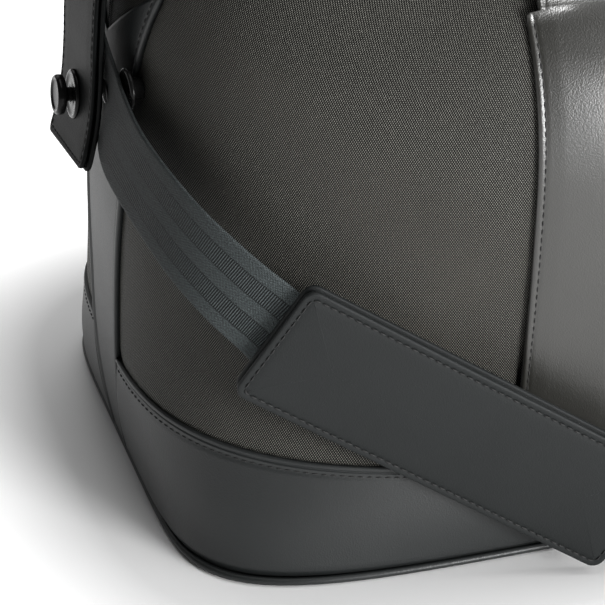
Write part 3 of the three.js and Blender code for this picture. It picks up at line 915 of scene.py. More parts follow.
# ---- sub-assemblies --------------------------------------------------------------------------
@dataclass
class Base:
    """Leather base with its folded top edge, piping and bottom."""

    bottom: float = 4.3 * MM
    fold: float = 2.3 * MM
    stitch_inset: float = 4.6 * MM
    piping: float = 1.8 * MM
    piping_out: float = 1.8 * MM
    underside_inset: float = 2.4 * MM
    underside_top: float = 2.2 * MM
    rows: int = 34
    cols: int = 420

    def build(self) -> None:
        """Builds both leather bands, the piping and their stitches."""
        for side, word in ((-1, "front"), (1, "back")):
            self.band(side, word)
        self.cord()
        self.underside()
        LOG.info("base built")

    def underside(self) -> None:
        """Builds the leather underside."""
        phi = np.linspace(0, 2 * math.pi, 320, endpoint=False)
        edge = FORM.lift(FORM.polar(phi, np.zeros(phi.shape)), -self.underside_inset)[:, :2]
        under = plate("bottom_panel_leather", edge, np.zeros(3), np.eye(3), 0.0,
                      self.underside_top, 0.7 * MM, Finish.LEATHER)
        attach(under, "bag")
        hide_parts("bottom_panel")

    def ends(self, z: Array) -> Array:
        """Plan angle of the gusset seam above the negative X axis, at height z."""
        y = FORM.gusset(z) + 0.35 * MM
        return np.arctan2(y, FORM.end_x(y, z))

    def band(self, side: float, word: str) -> None:
        """Builds one leather band.

        Args:
            side: -1 for the front and +1 for the back.
            word: the piece's last name.
        """
        v = np.linspace(0, 1, self.rows) ** 0.8
        v = np.concatenate([v[:-1] * 0.93, 1 - 0.07 * np.linspace(1, 0, 12)])
        u = np.linspace(0, 1, self.cols)
        edge = FORM.band_edge(np.array(FORM.half_length))
        z_row = self.bottom + v * (edge - self.bottom)
        away = self.ends(z_row)[:, None]
        phi = math.pi + away + (math.pi - 2 * away) * u[None]
        z = np.broadcast_to(z_row[:, None], phi.shape)
        for _ in range(3):
            p = FORM.polar(phi, z)
            top = FORM.band_edge(p[..., 0])
            z = self.bottom + v[:, None] * (top - self.bottom)
        p = FORM.polar(phi, z)
        down = top - p[..., 2]
        up = p[..., 2] - self.bottom
        off = PROUD + 0.45 * MM * (np.clip(1 - ((down - self.fold / 2) / (self.fold / 2)) ** 2,
                                           0, 1)) ** 0.5
        off = off - 0.5 * MM * np.exp(-((down - self.fold - 0.2 * MM) / (0.45 * MM)) ** 2)
        off = off - 0.45 * MM * np.exp(-((down - self.stitch_inset) / (0.8 * MM)) ** 2)
        off = off - 1.2 * MM * np.exp(-(up / (1.6 * MM)) ** 2)
        off = off + 0.8 * MM * np.sin(np.clip(up / (top - self.bottom), 0, 1) * math.pi)
        off = off + sag(p, 0.25 * MM)
        outer, inner = FORM.lift(p, off), FORM.lift(p, -COVER)
        outer[..., 1] *= -side
        inner[..., 1] *= -side
        band = slab(f"base_band_{word}_leather", outer, inner, Finish.LEATHER)
        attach(band, "bag")
        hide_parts(f"base_band_{word}")
        row = int(np.argmin(np.abs(down[:, self.cols // 2] - self.stitch_inset)))
        line = outer[row]
        facing = FORM.normal(p[row]) * [1, -side, 1]
        sewn = Stitching().run(f"base_band_{word}_stitches", line, facing)
        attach(sewn, "bag")

    def cord(self) -> None:
        """Builds the piping round the bottom."""
        z = self.piping + 0.35 * MM
        phi = np.linspace(0, 2 * math.pi, 480, endpoint=False)
        p = FORM.polar(phi, np.full(phi.shape, 0.0))
        n = FORM.normal(p) * [1, 1, 0]
        line = p + unit(n) * (self.piping_out - self.piping)
        line[:, 2] = z
        cord = round_cord("base_piping_cord", line, self.piping, Finish.EDGE,
                          np.array([0, 0, 1.0]), closed=True, sides=16)
        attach(cord, "bag")
        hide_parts("base_piping")


@dataclass
class WovenPanels:
    """Front and back panels of woven cloth."""

    cols: int = 520
    rows: int = 150

    def build(self) -> None:
        """Builds both panels."""
        for side, word in ((-1, "front"), (1, "back")):
            self.panel(side, word)
        LOG.info("woven panels built")

    def panel(self, side: float, word: str) -> None:
        """Builds one panel.

        Args:
            side: -1 for the front and +1 for the back.
            word: the piece's last name.
        """
        end_z = FORM.band_edge(np.array(FORM.half_length)) + 0.35 * MM
        y0 = FORM.gusset(end_z) + 0.5 * MM
        first = math.atan2(y0, FORM.end_x(y0, end_z)) + 1e-4
        u = np.linspace(-1, 1, self.cols)
        ease = np.sign(u) * (1 - (1 - np.abs(u)) ** 1.35)
        phi = 1.5 * math.pi + ease * (math.pi / 2 - first)
        low = np.full(phi.shape, end_z)
        for _ in range(3):
            low = FORM.band_edge(FORM.polar(phi, low)[:, 0]) - 0.5 * MM
        lo, hi = low.copy(), np.full(phi.shape, FORM.height)
        for _ in range(40):
            mid = (lo + hi) / 2
            out = np.abs(FORM.polar(phi, mid)[:, 1]) > FORM.gusset(mid) + 0.3 * MM
            lo = np.where(out, mid, lo)
            hi = np.where(out, hi, mid)
        run = running(TABLE[1:, [0, 2]])
        start, end = np.interp(low, TABLE[1:, 0], run), np.interp(hi, TABLE[1:, 0], run)
        v = np.linspace(0, 1, self.rows)[:, None]
        length = start + (end - start) * v
        z = np.interp(length, run, TABLE[1:, 0])
        p = FORM.polar(np.broadcast_to(phi, z.shape), z)
        from_seam = np.abs(p[..., 1]) - FORM.gusset(z)
        from_base = z - FORM.band_edge(p[..., 0])
        off = -0.9 * MM * np.exp(-(from_seam / (5 * MM)) ** 2)
        off = off - 0.5 * MM * np.exp(-(from_base / (4 * MM)) ** 2)
        off = off + sag(p, 0.5 * MM) * smoothstep(from_seam / (30 * MM))
        outer, inner = FORM.lift(p, off), FORM.lift(p, -COVER)
        mid_row = FORM.polar(phi, np.full(phi.shape, 150 * MM))
        along = running(mid_row)
        uv = np.stack([np.broadcast_to(along, z.shape), length], -1)
        outer[..., 1] *= -side
        inner[..., 1] *= -side
        panel = slab(f"panel_{word}_cloth", outer, inner, Finish.WOVEN, uv)
        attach(panel, "bag")
        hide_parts(f"panel_{word}")


@dataclass
class Gussets:
    """Leather strips up both ends, with folded and sewn edges."""

    bottom: float = 4.3 * MM
    fold: float = 2.6 * MM
    stitch_inset: float = 4.2 * MM
    sewn_from: float = 165 * MM
    sewn_to: float = 246 * MM
    rows: int = 150
    cols: int = 60

    def build(self) -> None:
        """Builds both gussets and the sewn edges along the woven panels."""
        for side, word in ((-1, "left"), (1, "right")):
            self.gusset(side, word)
        LOG.info("gussets built")

    def profile(self, from_edge: Array) -> Array:
        """How far the leather stands out at a distance from its folded edge.

        Args:
            from_edge: distance from the folded edge.

        Returns:
            How far it stands out.
        """
        bead = np.clip(1 - ((from_edge - self.fold / 2) / (self.fold / 2)) ** 2, 0, 1) ** 0.5
        off = PROUD + 0.75 * MM * bead
        return off - 0.3 * MM * np.exp(-((from_edge - self.fold - 0.6 * MM) / (0.9 * MM)) ** 2)

    def gusset(self, side: float, word: str) -> None:
        """Builds one gusset.

        Args:
            side: -1 for the left end and +1 for the right end.
            word: the piece's last name.
        """
        half = np.linspace(0, 1, self.cols // 2)
        u = 1 - (1 - half) ** 1.8
        u = np.concatenate([-u[:0:-1], u])
        v = np.linspace(0, 1, self.rows)[:, None]
        z = np.full((self.rows, len(u)), 0.2)
        for _ in range(8):
            y = u[None] * (FORM.gusset(z) - 0.05 * MM)
            top = FORM.v_low + FORM.v_slope * np.abs(y)
            z = self.bottom + v * (top - self.bottom)
        p = np.stack([-FORM.end_x(y, z), y, z], -1)
        from_edge = FORM.gusset(z) - np.abs(y)
        off = self.profile(from_edge) + sag(p, 0.3 * MM)
        off = off - 1.2 * MM * np.exp(-((z - self.bottom) / (1.6 * MM)) ** 2)
        outer, inner = FORM.lift(p, off), FORM.lift(p, -COVER)
        outer[..., 0] *= -side
        inner[..., 0] *= -side
        piece = slab(f"gusset_{word}_leather", outer, inner, Finish.LEATHER)
        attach(piece, "bag")
        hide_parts(f"gusset_{word}")
        for edge, name in ((-1, "front"), (1, "back")):
            zs = np.linspace(self.sewn_from, self.sewn_to, 300)
            y = edge * (FORM.gusset(zs) - self.stitch_inset)
            line = np.stack([-FORM.end_x(y, zs), y, zs], -1)
            facing = FORM.normal(line)
            line = FORM.lift(line, PROUD - 0.25 * MM)
            line[:, 0] *= -side
            facing[:, 0] *= -side
            sewn = Stitching().run(f"gusset_{word}_{name}_stitches", line, facing)
            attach(sewn, "bag")


@dataclass
class ZipPanel:
    """Woven top strips either side of the zip."""

    mouth_half_length: float = 185 * MM
    mouth_half_width: float = 12 * MM
    rows: int = 26
    cols: int = 420

    def build(self) -> None:
        """Builds both strips and their sewn edges."""
        for side, word in ((-1, "front"), (1, "back")):
            self.strip(side, word)
        LOG.info("zip panel built")

    def inner_edge(self, x: Array) -> Array:
        """Half-width of the zip's mouth at x, closing past its ends."""
        past = (np.abs(x) - self.mouth_half_length) / (1.5 * MM)
        return 0.2 * MM + (self.mouth_half_width - 0.2 * MM) * (1 - smoothstep(past))

    def strip(self, side: float, word: str) -> None:
        """Builds one strip.

        Args:
            side: -1 for the front and +1 for the back.
            word: the piece's last name.
        """
        w = smoothstep(np.linspace(0, 1, self.rows))[:, None]
        tau = np.linspace(0, 1, self.cols)[None]
        z = np.full((self.rows, 1), 0.24)
        for _ in range(12):
            y = self.inner_edge(np.array(0.25)) * (1 - w) + w * FORM.gusset(z)
            z = FORM.v_low + FORM.v_slope * y + 0.5 * MM
        start = np.arctan2(z - 0.2, FORM.end_x(y, z))
        turn = (math.pi - start) * (1 - tau) + start * tau
        y = np.broadcast_to(y, turn.shape)
        for _ in range(6):
            p = FORM.over(y, turn)
            y = self.inner_edge(p[..., 0]) * (1 - w) + w * (FORM.gusset(p[..., 2]) - 0.1 * MM)
        p = FORM.over(y, turn)
        from_seam = FORM.gusset(p[..., 2]) - np.abs(p[..., 1])
        from_mouth = np.abs(p[..., 1]) - self.inner_edge(p[..., 0])
        off = 0.5 * MM * np.exp(-((from_seam - 1.4 * MM) / (1.2 * MM)) ** 2)
        off = off + 0.4 * MM * np.exp(-((from_mouth - 1.5 * MM) / (1.3 * MM)) ** 2)
        outer, inner = FORM.lift(p, off), FORM.lift(p, -COVER)
        outer[..., 1] *= side
        inner[..., 1] *= side
        along = np.cumsum(np.linalg.norm(np.diff(p[-1], axis=0, prepend=p[-1][:1]), axis=1))
        uv = np.stack([np.broadcast_to(along, turn.shape), p[..., 1]], -1)
        piece = slab(f"zip_panel_{word}_cloth", outer, inner, Finish.ZIP_PANEL, uv)
        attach(piece, "bag")
        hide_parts(f"zip_panel_{word}")
        reach = np.linspace(-self.mouth_half_length - 4 * MM, self.mouth_half_length + 4 * MM, 60)
        line = np.stack([reach, np.full(60, side * (self.mouth_half_width + 3 * MM)),
                         np.full(60, FORM.height + 0.3 * MM)], -1)
        up = np.broadcast_to([0, 0, 1.0], line.shape)
        sewn = Stitching(pitch=3 * MM, length=2.3 * MM).run(f"zip_panel_{word}_stitches",
                                                            line, up)
        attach(sewn, "bag")


def plate(name: str, outline: Array, place: Array, basis: Array, low: float, high: float,
          bevel: float, finish: Finish, crown: float = 0.0) -> bpy.types.Object:
    """A flat piece with eased edges.

    Args:
        name: the piece's name.
        outline: N by 2 closed outline.
        place: where (0, 0, 0) of the piece is.
        basis: 3 by 3, rows are the piece's own x, y and z.
        low: bottom height.
        high: top height.
        bevel: how far the edges are eased.
        finish: what it is made of.
        crown: how far the middle swells above the edge.

    Returns:
        The new object.
    """
    t = unit(np.roll(outline, -1, 0) - np.roll(outline, 1, 0))
    inward = np.stack([-t[:, 1], t[:, 0]], 1)
    area = np.sum(outline[:, 0] * np.roll(outline[:, 1], -1)
                  - outline[:, 1] * np.roll(outline[:, 0], -1))
    inward = inward * (1 if area > 0 else -1)
    middle = outline.mean(0)
    loops = []
    for angle in np.linspace(0, math.pi / 2, 5):
        loops.append((outline + inward * bevel * (1 - math.sin(angle)),
                      low + bevel * (1 - math.cos(angle))))
    for angle in np.linspace(math.pi / 2, 0, 5):
        loops.append((outline + inward * bevel * (1 - math.sin(angle)),
                      high - bevel * (1 - math.cos(angle))))
    last = loops[-1][0]
    for share in (0.9, 0.7, 0.45, 0.2, 0.01):
        rise = crown * (1 - share ** 2)
        loops.append((middle + (last - middle) * share, high + rise))
    first = loops[0][0]
    loops.insert(0, (middle + (first - middle) * 0.01, low))
    rings = np.stack([np.column_stack([xy, np.full(len(xy), z)]) @ basis for xy, z in loops])
    return sweep(name, rings + place, finish)


def round_outline(length: float, width: float, corner: float, per: int = 7) -> Array:
    """A rectangle with round corners, from 0 to `length` and centred across.

    Args:
        length: its length.
        width: its width.
        corner: radius of its corners.
        per: points round each corner.

    Returns:
        The closed outline, N by 2.
    """
    out = []
    for cx, cy, first in ((length - corner, width / 2 - corner, 0),
                          (corner, width / 2 - corner, 90),
                          (corner, corner - width / 2, 180),
                          (length - corner, corner - width / 2, 270)):
        for a in np.radians(first + np.linspace(0, 90, per)):
            out.append((cx + corner * math.cos(a), cy + corner * math.sin(a)))
    dense = np.array(out + out[:1])
    return resample(np.column_stack([dense, np.zeros(len(dense))]), 1.5 * MM)[:-1, :2]


def mirror(p: Array, x: float = 1, y: float = 1) -> Array:
    """Points with x and y multiplied by the given signs."""
    return p * [x, y, 1.0]


@dataclass
class Fastener:
    """Zip tapes, teeth, stops, sliders and their pulls."""

    tape_top: float = 297.4 * MM
    tape_inner: float = 2.9 * MM
    tape_outer: float = 15.2 * MM
    tape: float = 1.1 * MM
    half_length: float = 184 * MM
    teeth_run: float = 178 * MM
    pitch: float = 3.0 * MM
    park: float = 166 * MM
    hinge: float = 303.5 * MM
    stop_at: float = 179.4 * MM
    slider_half: float = 8 * MM

    def build(self) -> None:
        """Builds the whole fastener."""
        for side, word in ((-1, "front"), (1, "back")):
            self.half(side, word)
        for side, word in ((-1, "left"), (1, "right")):
            self.stop(side, word)
            self.slider(side, word)
            self.pull(side, word)
        LOG.info("zip built")

    def half(self, side: float, word: str) -> None:
        """Builds one tape with its teeth.

        Args:
            side: -1 for one side and +1 for the other.
            word: the piece's last name.
        """
        x = np.linspace(-self.half_length, self.half_length, 200)
        y = np.linspace(self.tape_inner, self.tape_outer, 8)[:, None]
        top = self.tape_top + 0.25 * MM * np.exp(-((y - self.tape_inner) / (0.8 * MM)) ** 2)
        grid = np.stack(np.broadcast_arrays(x[None], y * side, top), -1)
        piece = slab(f"zip_tape_{word}_cloth", grid, grid - [0, 0, self.tape], Finish.TAPE)
        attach(piece, "bag")
        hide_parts(f"zip_tape_{word}")
        starts = np.arange(-self.teeth_run, self.teeth_run, self.pitch)
        starts = starts + (self.pitch / 2 if side > 0 else 0)
        shape = np.array([(-0.45, -1.1), (0.55, -1.25), (0.62, 1.2), (0.3, 3.0), (0.3, 3.3),
                          (-0.3, 3.3), (-0.3, 3.0), (-0.62, 1.2), (-0.55, -1.25)][1:]) * MM
        verts, faces = [], []
        middle = self.tape_top - self.tape / 2
        for x0 in starts:
            base = len(verts)
            for inset, z in ((0.3, -1.5), (0, -1.2), (0, 1.2), (0.3, 1.5)):
                for sx, sy in shape * (1 - inset * 0.4):
                    verts.append((x0 + sx * 1.3, side * (3.2 * MM - sy + 0.9 * MM),
                                  middle + z * MM))
            count = len(shape)
            faces += [[base + q for q in f] for f in grid_faces(4, count, wrap=True)]
            faces += [[base + q for q in range(count)][::-1],
                      [base + 3 * count + q for q in range(count)]]
        teeth = new_object(f"zip_teeth_{word}", np.array(verts), faces, Finish.TEETH)
        face_outward(teeth)
        teeth.data.polygons.foreach_set("use_smooth", [False] * len(teeth.data.polygons))
        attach(teeth, "bag")

    def stop(self, side: float, word: str) -> None:
        """Builds the metal stop at one end.

        Args:
            side: -1 for one side and +1 for the other.
            word: the piece's last name.
        """
        basis = np.diag([side, 1, 1]).astype(float)
        place = np.array([side * self.stop_at, 0, 0])
        piece = plate(f"zip_stop_{word}_metal", round_outline(2.9 * MM, 13.8 * MM, 1.2 * MM, 5),
                      place, basis, self.tape_top - self.tape, self.tape_top + 2 * MM,
                      0.5 * MM, Finish.METAL)
        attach(piece, "bag")
        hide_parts(f"zip_stop_{word}")

    def slider(self, side: float, word: str) -> None:
        """Builds one slider body.

        Args:
            side: -1 for one side and +1 for the other.
            word: the piece's last name.
        """
        basis = np.diag([-side, 1, 1]).astype(float)
        place = np.array([side * (self.park + self.slider_half), 0, 0])
        outline = np.array([(0, -5.2), (1.2, -6.4), (7, -7.5), (10.5, -7.4), (15.2, -5.4),
                            (16, -3.6), (16, 3.6), (15.2, 5.4), (10.5, 7.4), (7, 7.5),
                            (1.2, 6.4), (0, 5.2)]) * MM
        outline = resample(np.column_stack([np.vstack([outline, outline[:1]]),
                                            np.zeros(13)]), 0.9 * MM)[:-1, :2]
        top = self.tape_top - 0.6 * MM + 2.4 * MM
        upper = plate(f"zip_slider_{word}_top", outline, place, basis, top, top + 1.7 * MM,
                      0.5 * MM, Finish.METAL, 0.3 * MM)
        lower = plate(f"zip_slider_{word}_foot", outline, place, basis,
                      self.tape_top - 4.7 * MM, self.tape_top - 3.0 * MM, 0.4 * MM, Finish.METAL)
        post = plate(f"zip_slider_{word}_post", round_outline(6 * MM, 3.2 * MM, 1.2 * MM, 5),
                     place + [side * -5 * MM, 0, 0], basis, self.tape_top - 3.4 * MM,
                     top + 0.4 * MM, 0.2 * MM, Finish.METAL)
        angle = np.linspace(0, math.pi, 24)
        line = np.stack([side * self.park + 4.2 * MM * np.cos(angle), np.zeros(24),
                         top + 1.6 * MM + 4.0 * MM * np.sin(angle)], -1)
        bridge = round_cord(f"zip_slider_{word}_bridge", line, 1.3 * MM, Finish.METAL,
                            np.array([0, 1.0, 0]), flat=0.6)
        for piece in (upper, lower, post, bridge):
            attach(piece, f"slider_{word}")
        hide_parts(f"zip_slider_{word}")

    def pull(self, side: float, word: str) -> None:
        """Builds one pull link with its leather end.

        Args:
            side: -1 for one side and +1 for the other.
            word: the piece's last name.
        """
        loop = round_outline(13 * MM, 9 * MM, 2.2 * MM)
        line = np.stack([side * (self.park - loop[:, 0]), loop[:, 1],
                         np.full(len(loop), self.hinge)], -1)
        link = round_cord(f"zip_pull_{word}_link", line, 1 * MM, Finish.METAL,
                          np.array([0, 0, 1.0]), closed=True)
        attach(link, f"pull_{word}")
        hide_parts(f"zip_pull_{word}")
        basis = np.diag([-side, 1, 1]).astype(float)
        place = np.array([side * (self.park - 15.5 * MM), 0, self.hinge])
        tongue = plate(f"pull_leather_{word}_tongue", round_outline(25.5 * MM, 12 * MM, 3 * MM),
                       place, basis, -1.3 * MM, 1.3 * MM, 0.7 * MM, Finish.LEATHER)
        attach(tongue, f"pull_{word}")
        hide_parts(f"pull_leather_{word}")
        neck = plate(f"pull_leather_{word}_loop", round_outline(6.4 * MM, 4.8 * MM, 2.1 * MM),
                     place - np.array([-side * 5.1 * MM, 0, 0]), basis, -2.5 * MM, 2.5 * MM,
                     2.1 * MM, Finish.LEATHER)
        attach(neck, f"pull_{word}")
        run = round_outline(22 * MM, 9 * MM, 2 * MM)
        line = np.stack([side * (self.park - 17.2 * MM - run[:, 0]), run[:, 1],
                         np.full(len(run), self.hinge + 1.3 * MM)], -1)
        sewn = Stitching(2.6 * MM, 1.9 * MM, 0.28 * MM, 0.12 * MM).run(
            f"pull_leather_{word}_stitches", line, np.broadcast_to([0, 0, 1.0], line.shape))
        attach(sewn, f"pull_{word}")


@dataclass
class Handles:
    """Handle bands on the body, rings, rolled grips and their wraps."""

    # The middle of the front rings' lower bar, worked out beforehand from the body's surface.
    ring_bar: tuple[float, float, float] = (0.0, -124.222 * MM, 267.873 * MM)
    centre: float = 106 * MM
    width: float = 45 * MM
    foot: float = 51.2 * MM
    loop_half: float = 18 * MM
    loop_radius: float = 3.35 * MM
    loop_rows: int = 24
    thickness: float = 2.2 * MM
    gap: float = 0.7 * MM
    top: float = 263 * MM
    wire: float = 1.9 * MM
    ring_width: float = 46 * MM
    ring_height: float = 17 * MM
    lean: float = math.radians(12)
    radius: float = 7.5 * MM
    wrap: float = 9.4 * MM
    grip_height: float = 118 * MM
    wrap_half: float = 50 * MM
    stitch_inset: float = 2.8 * MM
    rows: int = 150
    cols: int = 56

    def build(self) -> None:
        """Builds both handles."""
        for side, word in ((-1, "front"), (1, "back")):
            for end, place in ((-1, "left"), (1, "right")):
                self.band(side, word, end, place)
                self.ring(side, word, end, place)
            self.grip(side, word)
        LOG.info("handles built")

    def surface(self, x: Array, z: Array, off: Array) -> Array:
        """Points `off` outside the front of the body."""
        p = np.stack(np.broadcast_arrays(x, -FORM.side_y(x, z), z), -1)
        return FORM.lift(p, off)

    def band(self, side: float, word: str, end: float, place: str) -> None:
        """Builds one band with its folded ring loop and topstitching.

        Args:
            side: -1 for the front and +1 for the back.
            word: front or back.
            end: -1 for the left band and +1 for the right.
            place: left or right.
        """
        half = self.width / 2
        z = np.linspace(self.foot, self.top - 9 * MM, self.rows)
        u = np.linspace(-1, 1, self.cols)
        u = np.sign(u) * (1 - (1 - np.abs(u)) ** 1.5)
        off = self.gap + self.thickness / 2
        mid = self.surface(np.full(z.shape, self.centre), z, np.full(z.shape, off))
        eye = np.array(self.ring_bar)
        turn = np.radians(np.linspace(200, -60, 30))
        out = np.array([-1.0, 0.0])
        arc = eye[1:] + self.loop_radius * np.stack([np.cos(turn), np.sin(turn)], -1)
        line = np.vstack([mid[:, 1:], arc])
        full = resample(np.column_stack([np.zeros(len(line)), line]), 1.2 * MM)[:, 1:]
        for _ in range(6):
            full[-40:-22] = (full[-41:-23] + full[-39:-21]) / 2
        t = headings(full)
        normal = np.stack([-t[:, 1], t[:, 0]], -1)
        normal *= np.sign((normal[0] * out).sum())
        z_of = np.minimum(full[:, 1], self.top - 9 * MM)
        on_body = smoothstep((self.top - 4 * MM - full[:, 1]) / (10 * MM))
        on_body[-self.loop_rows:] = 0
        narrowing = smoothstep((self.top - 0.9 * MM - full[:, 1]) / (2.2 * MM))
        w = self.loop_half + (half - self.loop_half) * narrowing
        w[-self.loop_rows:] = self.loop_half
        x = self.centre + u[None] * w[:, None]
        bend = (FORM.side_y(x, z_of[:, None]) - FORM.side_y(np.array(self.centre),
                                                            z_of)[:, None])
        y = full[:, 0][:, None] - bend * on_body[:, None]
        spine = np.stack(np.broadcast_arrays(x, y, full[:, 1][:, None]), -1)
        nrm = np.stack([np.zeros(len(full)), normal[:, 0], normal[:, 1]], -1)[:, None]
        edge = w[:, None] - np.abs(u[None] * w[:, None])
        rise = self.thickness / 2 * np.clip(1 - (1 - np.clip(edge / (1.3 * MM), 0, 1)) ** 2.4,
                                            0.02, 1) ** 0.5
        rise = rise - 0.3 * MM * np.exp(-((edge - self.stitch_inset) / (0.8 * MM)) ** 2)
        rise = rise + 0.3 * MM * smoothstep((edge - 3 * MM) / (8 * MM))
        outer = spine + nrm * rise[..., None]
        inner = spine - nrm * np.minimum(rise, self.thickness / 2)[..., None]
        name = f"handle_band_{word}_{place}"
        piece = slab(f"{name}_leather", mirror(outer, end, -side), mirror(inner, end, -side),
                     Finish.BAND)
        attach(piece, "bag")
        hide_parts(name)
        keep = full[:, 1] < self.top - 6 * MM
        for sign in (-1, 1):
            xs = self.centre + sign * (w[:-self.loop_rows] - self.stitch_inset)
            cols = np.argmin(np.abs(x[:-self.loop_rows] - xs[:, None]), 1)
            line = outer[np.arange(len(xs)), cols]
            line[:, 0] = xs
            facing = np.broadcast_to(nrm[:-self.loop_rows, 0], line.shape)
            sewn = Stitching().run(f"{name}_stitches_{'outer' if sign > 0 else 'inner'}",
                                   mirror(line, end, -side), mirror(facing, end, -side))
            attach(sewn, "bag")
        low = np.linspace(-1, 1, 20) * (half - self.stitch_inset) * 0.98
        bars = self.surface(self.centre + low, np.full(20, self.top - 6 * MM),
                            np.full(20, self.gap + self.thickness + 0.2 * MM))
        facing = np.broadcast_to(nrm[int(keep.sum()) - 10, 0], bars.shape)
        sewn = Stitching().run(f"{name}_stitches_cross", mirror(bars, end, -side),
                               mirror(facing, end, -side))
        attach(sewn, "bag")

    def handle_point(self, x: Array, up: Array, out: Array | float = 0.0) -> Array:
        """A point of the leaning handle plane, `out` in front of it.

        Args:
            x: sideways position.
            up: height above the ring's lower bar.
            out: distance in front of the plane.

        Returns:
            The points.
        """
        way = np.array([0, math.sin(self.lean), math.cos(self.lean)])
        front = np.array([0, -math.cos(self.lean), math.sin(self.lean)])
        p = (np.array(self.ring_bar) + np.asarray(up)[..., None] * way
             + np.asarray(out)[..., None] * front)
        return p + np.asarray(x)[..., None] * [1, 0, 0]

    def ring(self, side: float, word: str, end: float, place: str) -> None:
        """Builds one rectangular ring.

        Args:
            side: -1 for one side and +1 for the other.
            word: the piece's last name.
            end: -1 for the left and +1 for the right.
            place: left or right.
        """
        loop = round_outline(self.ring_height, self.ring_width, 5 * MM)
        line = self.handle_point(self.centre + loop[:, 1], loop[:, 0])
        facing = np.array([0, -math.cos(self.lean), math.sin(self.lean)]) * [1, -side, 1]
        piece = round_cord(f"handle_ring_{word}_{place}_wire", mirror(line, end, -side),
                           self.wire, Finish.METAL, facing, closed=True, sides=20)
        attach(piece, f"handle_{word}")
        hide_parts(f"handle_ring_{word}_{place}")

    def grip(self, side: float, word: str) -> None:
        """Builds the rolled grip, its flat ends and the wrap.

        Args:
            side: -1 for one side and +1 for the other.
            word: the piece's last name.
        """
        c, h = self.centre, self.grip_height
        path = smooth_line([(-c, 12.8 * MM), (-c, 23 * MM), (-c, 41 * MM),
                            (-c + 6 * MM, h * 0.62), (-c + 34 * MM, h * 0.93), (-45 * MM, h),
                            (0, h + 1 * MM), (45 * MM, h), (c - 34 * MM, h * 0.93),
                            (c - 6 * MM, h * 0.62), (c, 41 * MM), (c, 23 * MM),
                            (c, 12.8 * MM)], 12)
        line = resample(np.column_stack([path, np.zeros(len(path))]), 1.1 * MM)
        up = line[:, 1]
        bar = self.ring_height
        near = np.abs(up - bar)
        eye = np.sqrt(np.clip((4.3 * MM) ** 2 - near ** 2, (0.3 * MM) ** 2, None))
        flat = 2.5 * MM + (self.radius - 2.5 * MM) * smoothstep((up - 30 * MM) / (20 * MM))
        thick = np.where(up < bar, eye, np.maximum(eye, flat))
        wide = 16 * MM + (self.radius - 16 * MM) * smoothstep((up - 24 * MM) / (26 * MM))
        power = 5 - 3 * smoothstep((up - 26 * MM) / (22 * MM))
        angle = np.linspace(0, 2 * math.pi, 28, endpoint=False)
        ca, sa = np.cos(angle)[None], np.sin(angle)[None]
        e = 2 / power[:, None]
        across = wide[:, None] * np.sign(ca) * np.abs(ca) ** e
        out = thick[:, None] * np.sign(sa) * np.abs(sa) ** e
        tangent = headings(line)
        normal = np.stack([tangent[:, 1], -tangent[:, 0]], -1)
        loops = self.handle_point(line[:, 0][:, None] + normal[:, 0][:, None] * across,
                                  line[:, 1][:, None] + normal[:, 1][:, None] * across, out)
        piece = sweep(f"handle_grip_{word}_leather", mirror(loops, 1, -side), Finish.LEATHER)
        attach(piece, f"handle_{word}")
        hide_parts(f"handle_grip_{word}")
        keep = up > 48 * MM
        seam = self.handle_point(line[keep, 0] - normal[keep, 0] * -self.radius,
                                 line[keep, 1] - normal[keep, 1] * -self.radius)
        inward = self.handle_point(line[keep, 0], line[keep, 1])
        sewn = Stitching().run(f"handle_grip_{word}_stitches", mirror(seam, 1, -side),
                               mirror(unit(seam - inward), 1, -side))
        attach(sewn, f"handle_{word}")
        mid = np.abs(line[:, 0]) <= self.wrap_half
        s = np.linspace(-1, 1, int(mid.sum()))
        r = self.wrap - 0.5 * MM * np.exp(-((1 - np.abs(s)) / 0.02) ** 2)
        r = r - 0.25 * MM * np.exp(-((1 - np.abs(s) - 0.07) / 0.014) ** 2)
        core = line[mid]
        nm = normal[mid]
        loops = self.handle_point(core[:, 0][:, None] + nm[:, 0][:, None] * r[:, None] * ca,
                                  core[:, 1][:, None] + nm[:, 1][:, None] * r[:, None] * ca,
                                  r[:, None] * sa)
        wrap = sweep(f"handle_wrap_{word}_leather", mirror(loops, 1, -side), Finish.PAD)
        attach(wrap, f"handle_{word}")
        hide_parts(f"handle_wrap_{word}")
        for sign in (-1, 1):
            k = int(np.argmin(np.abs(s - sign * 0.93)))
            turn = np.linspace(0, 2 * math.pi, 60)
            ring = self.handle_point(core[k, 0] + nm[k, 0] * r[k] * np.cos(turn),
                                     core[k, 1] + nm[k, 1] * r[k] * np.cos(turn),
                                     r[k] * np.sin(turn))
            hub = self.handle_point(core[k, 0], core[k, 1])
            sewn = Stitching(3 * MM, 2.2 * MM).run(
                f"handle_wrap_{word}_stitches_{'right' if sign > 0 else 'left'}",
                mirror(ring, 1, -side), mirror(unit(ring - hub), 1, -side))
            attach(sewn, f"handle_{word}")


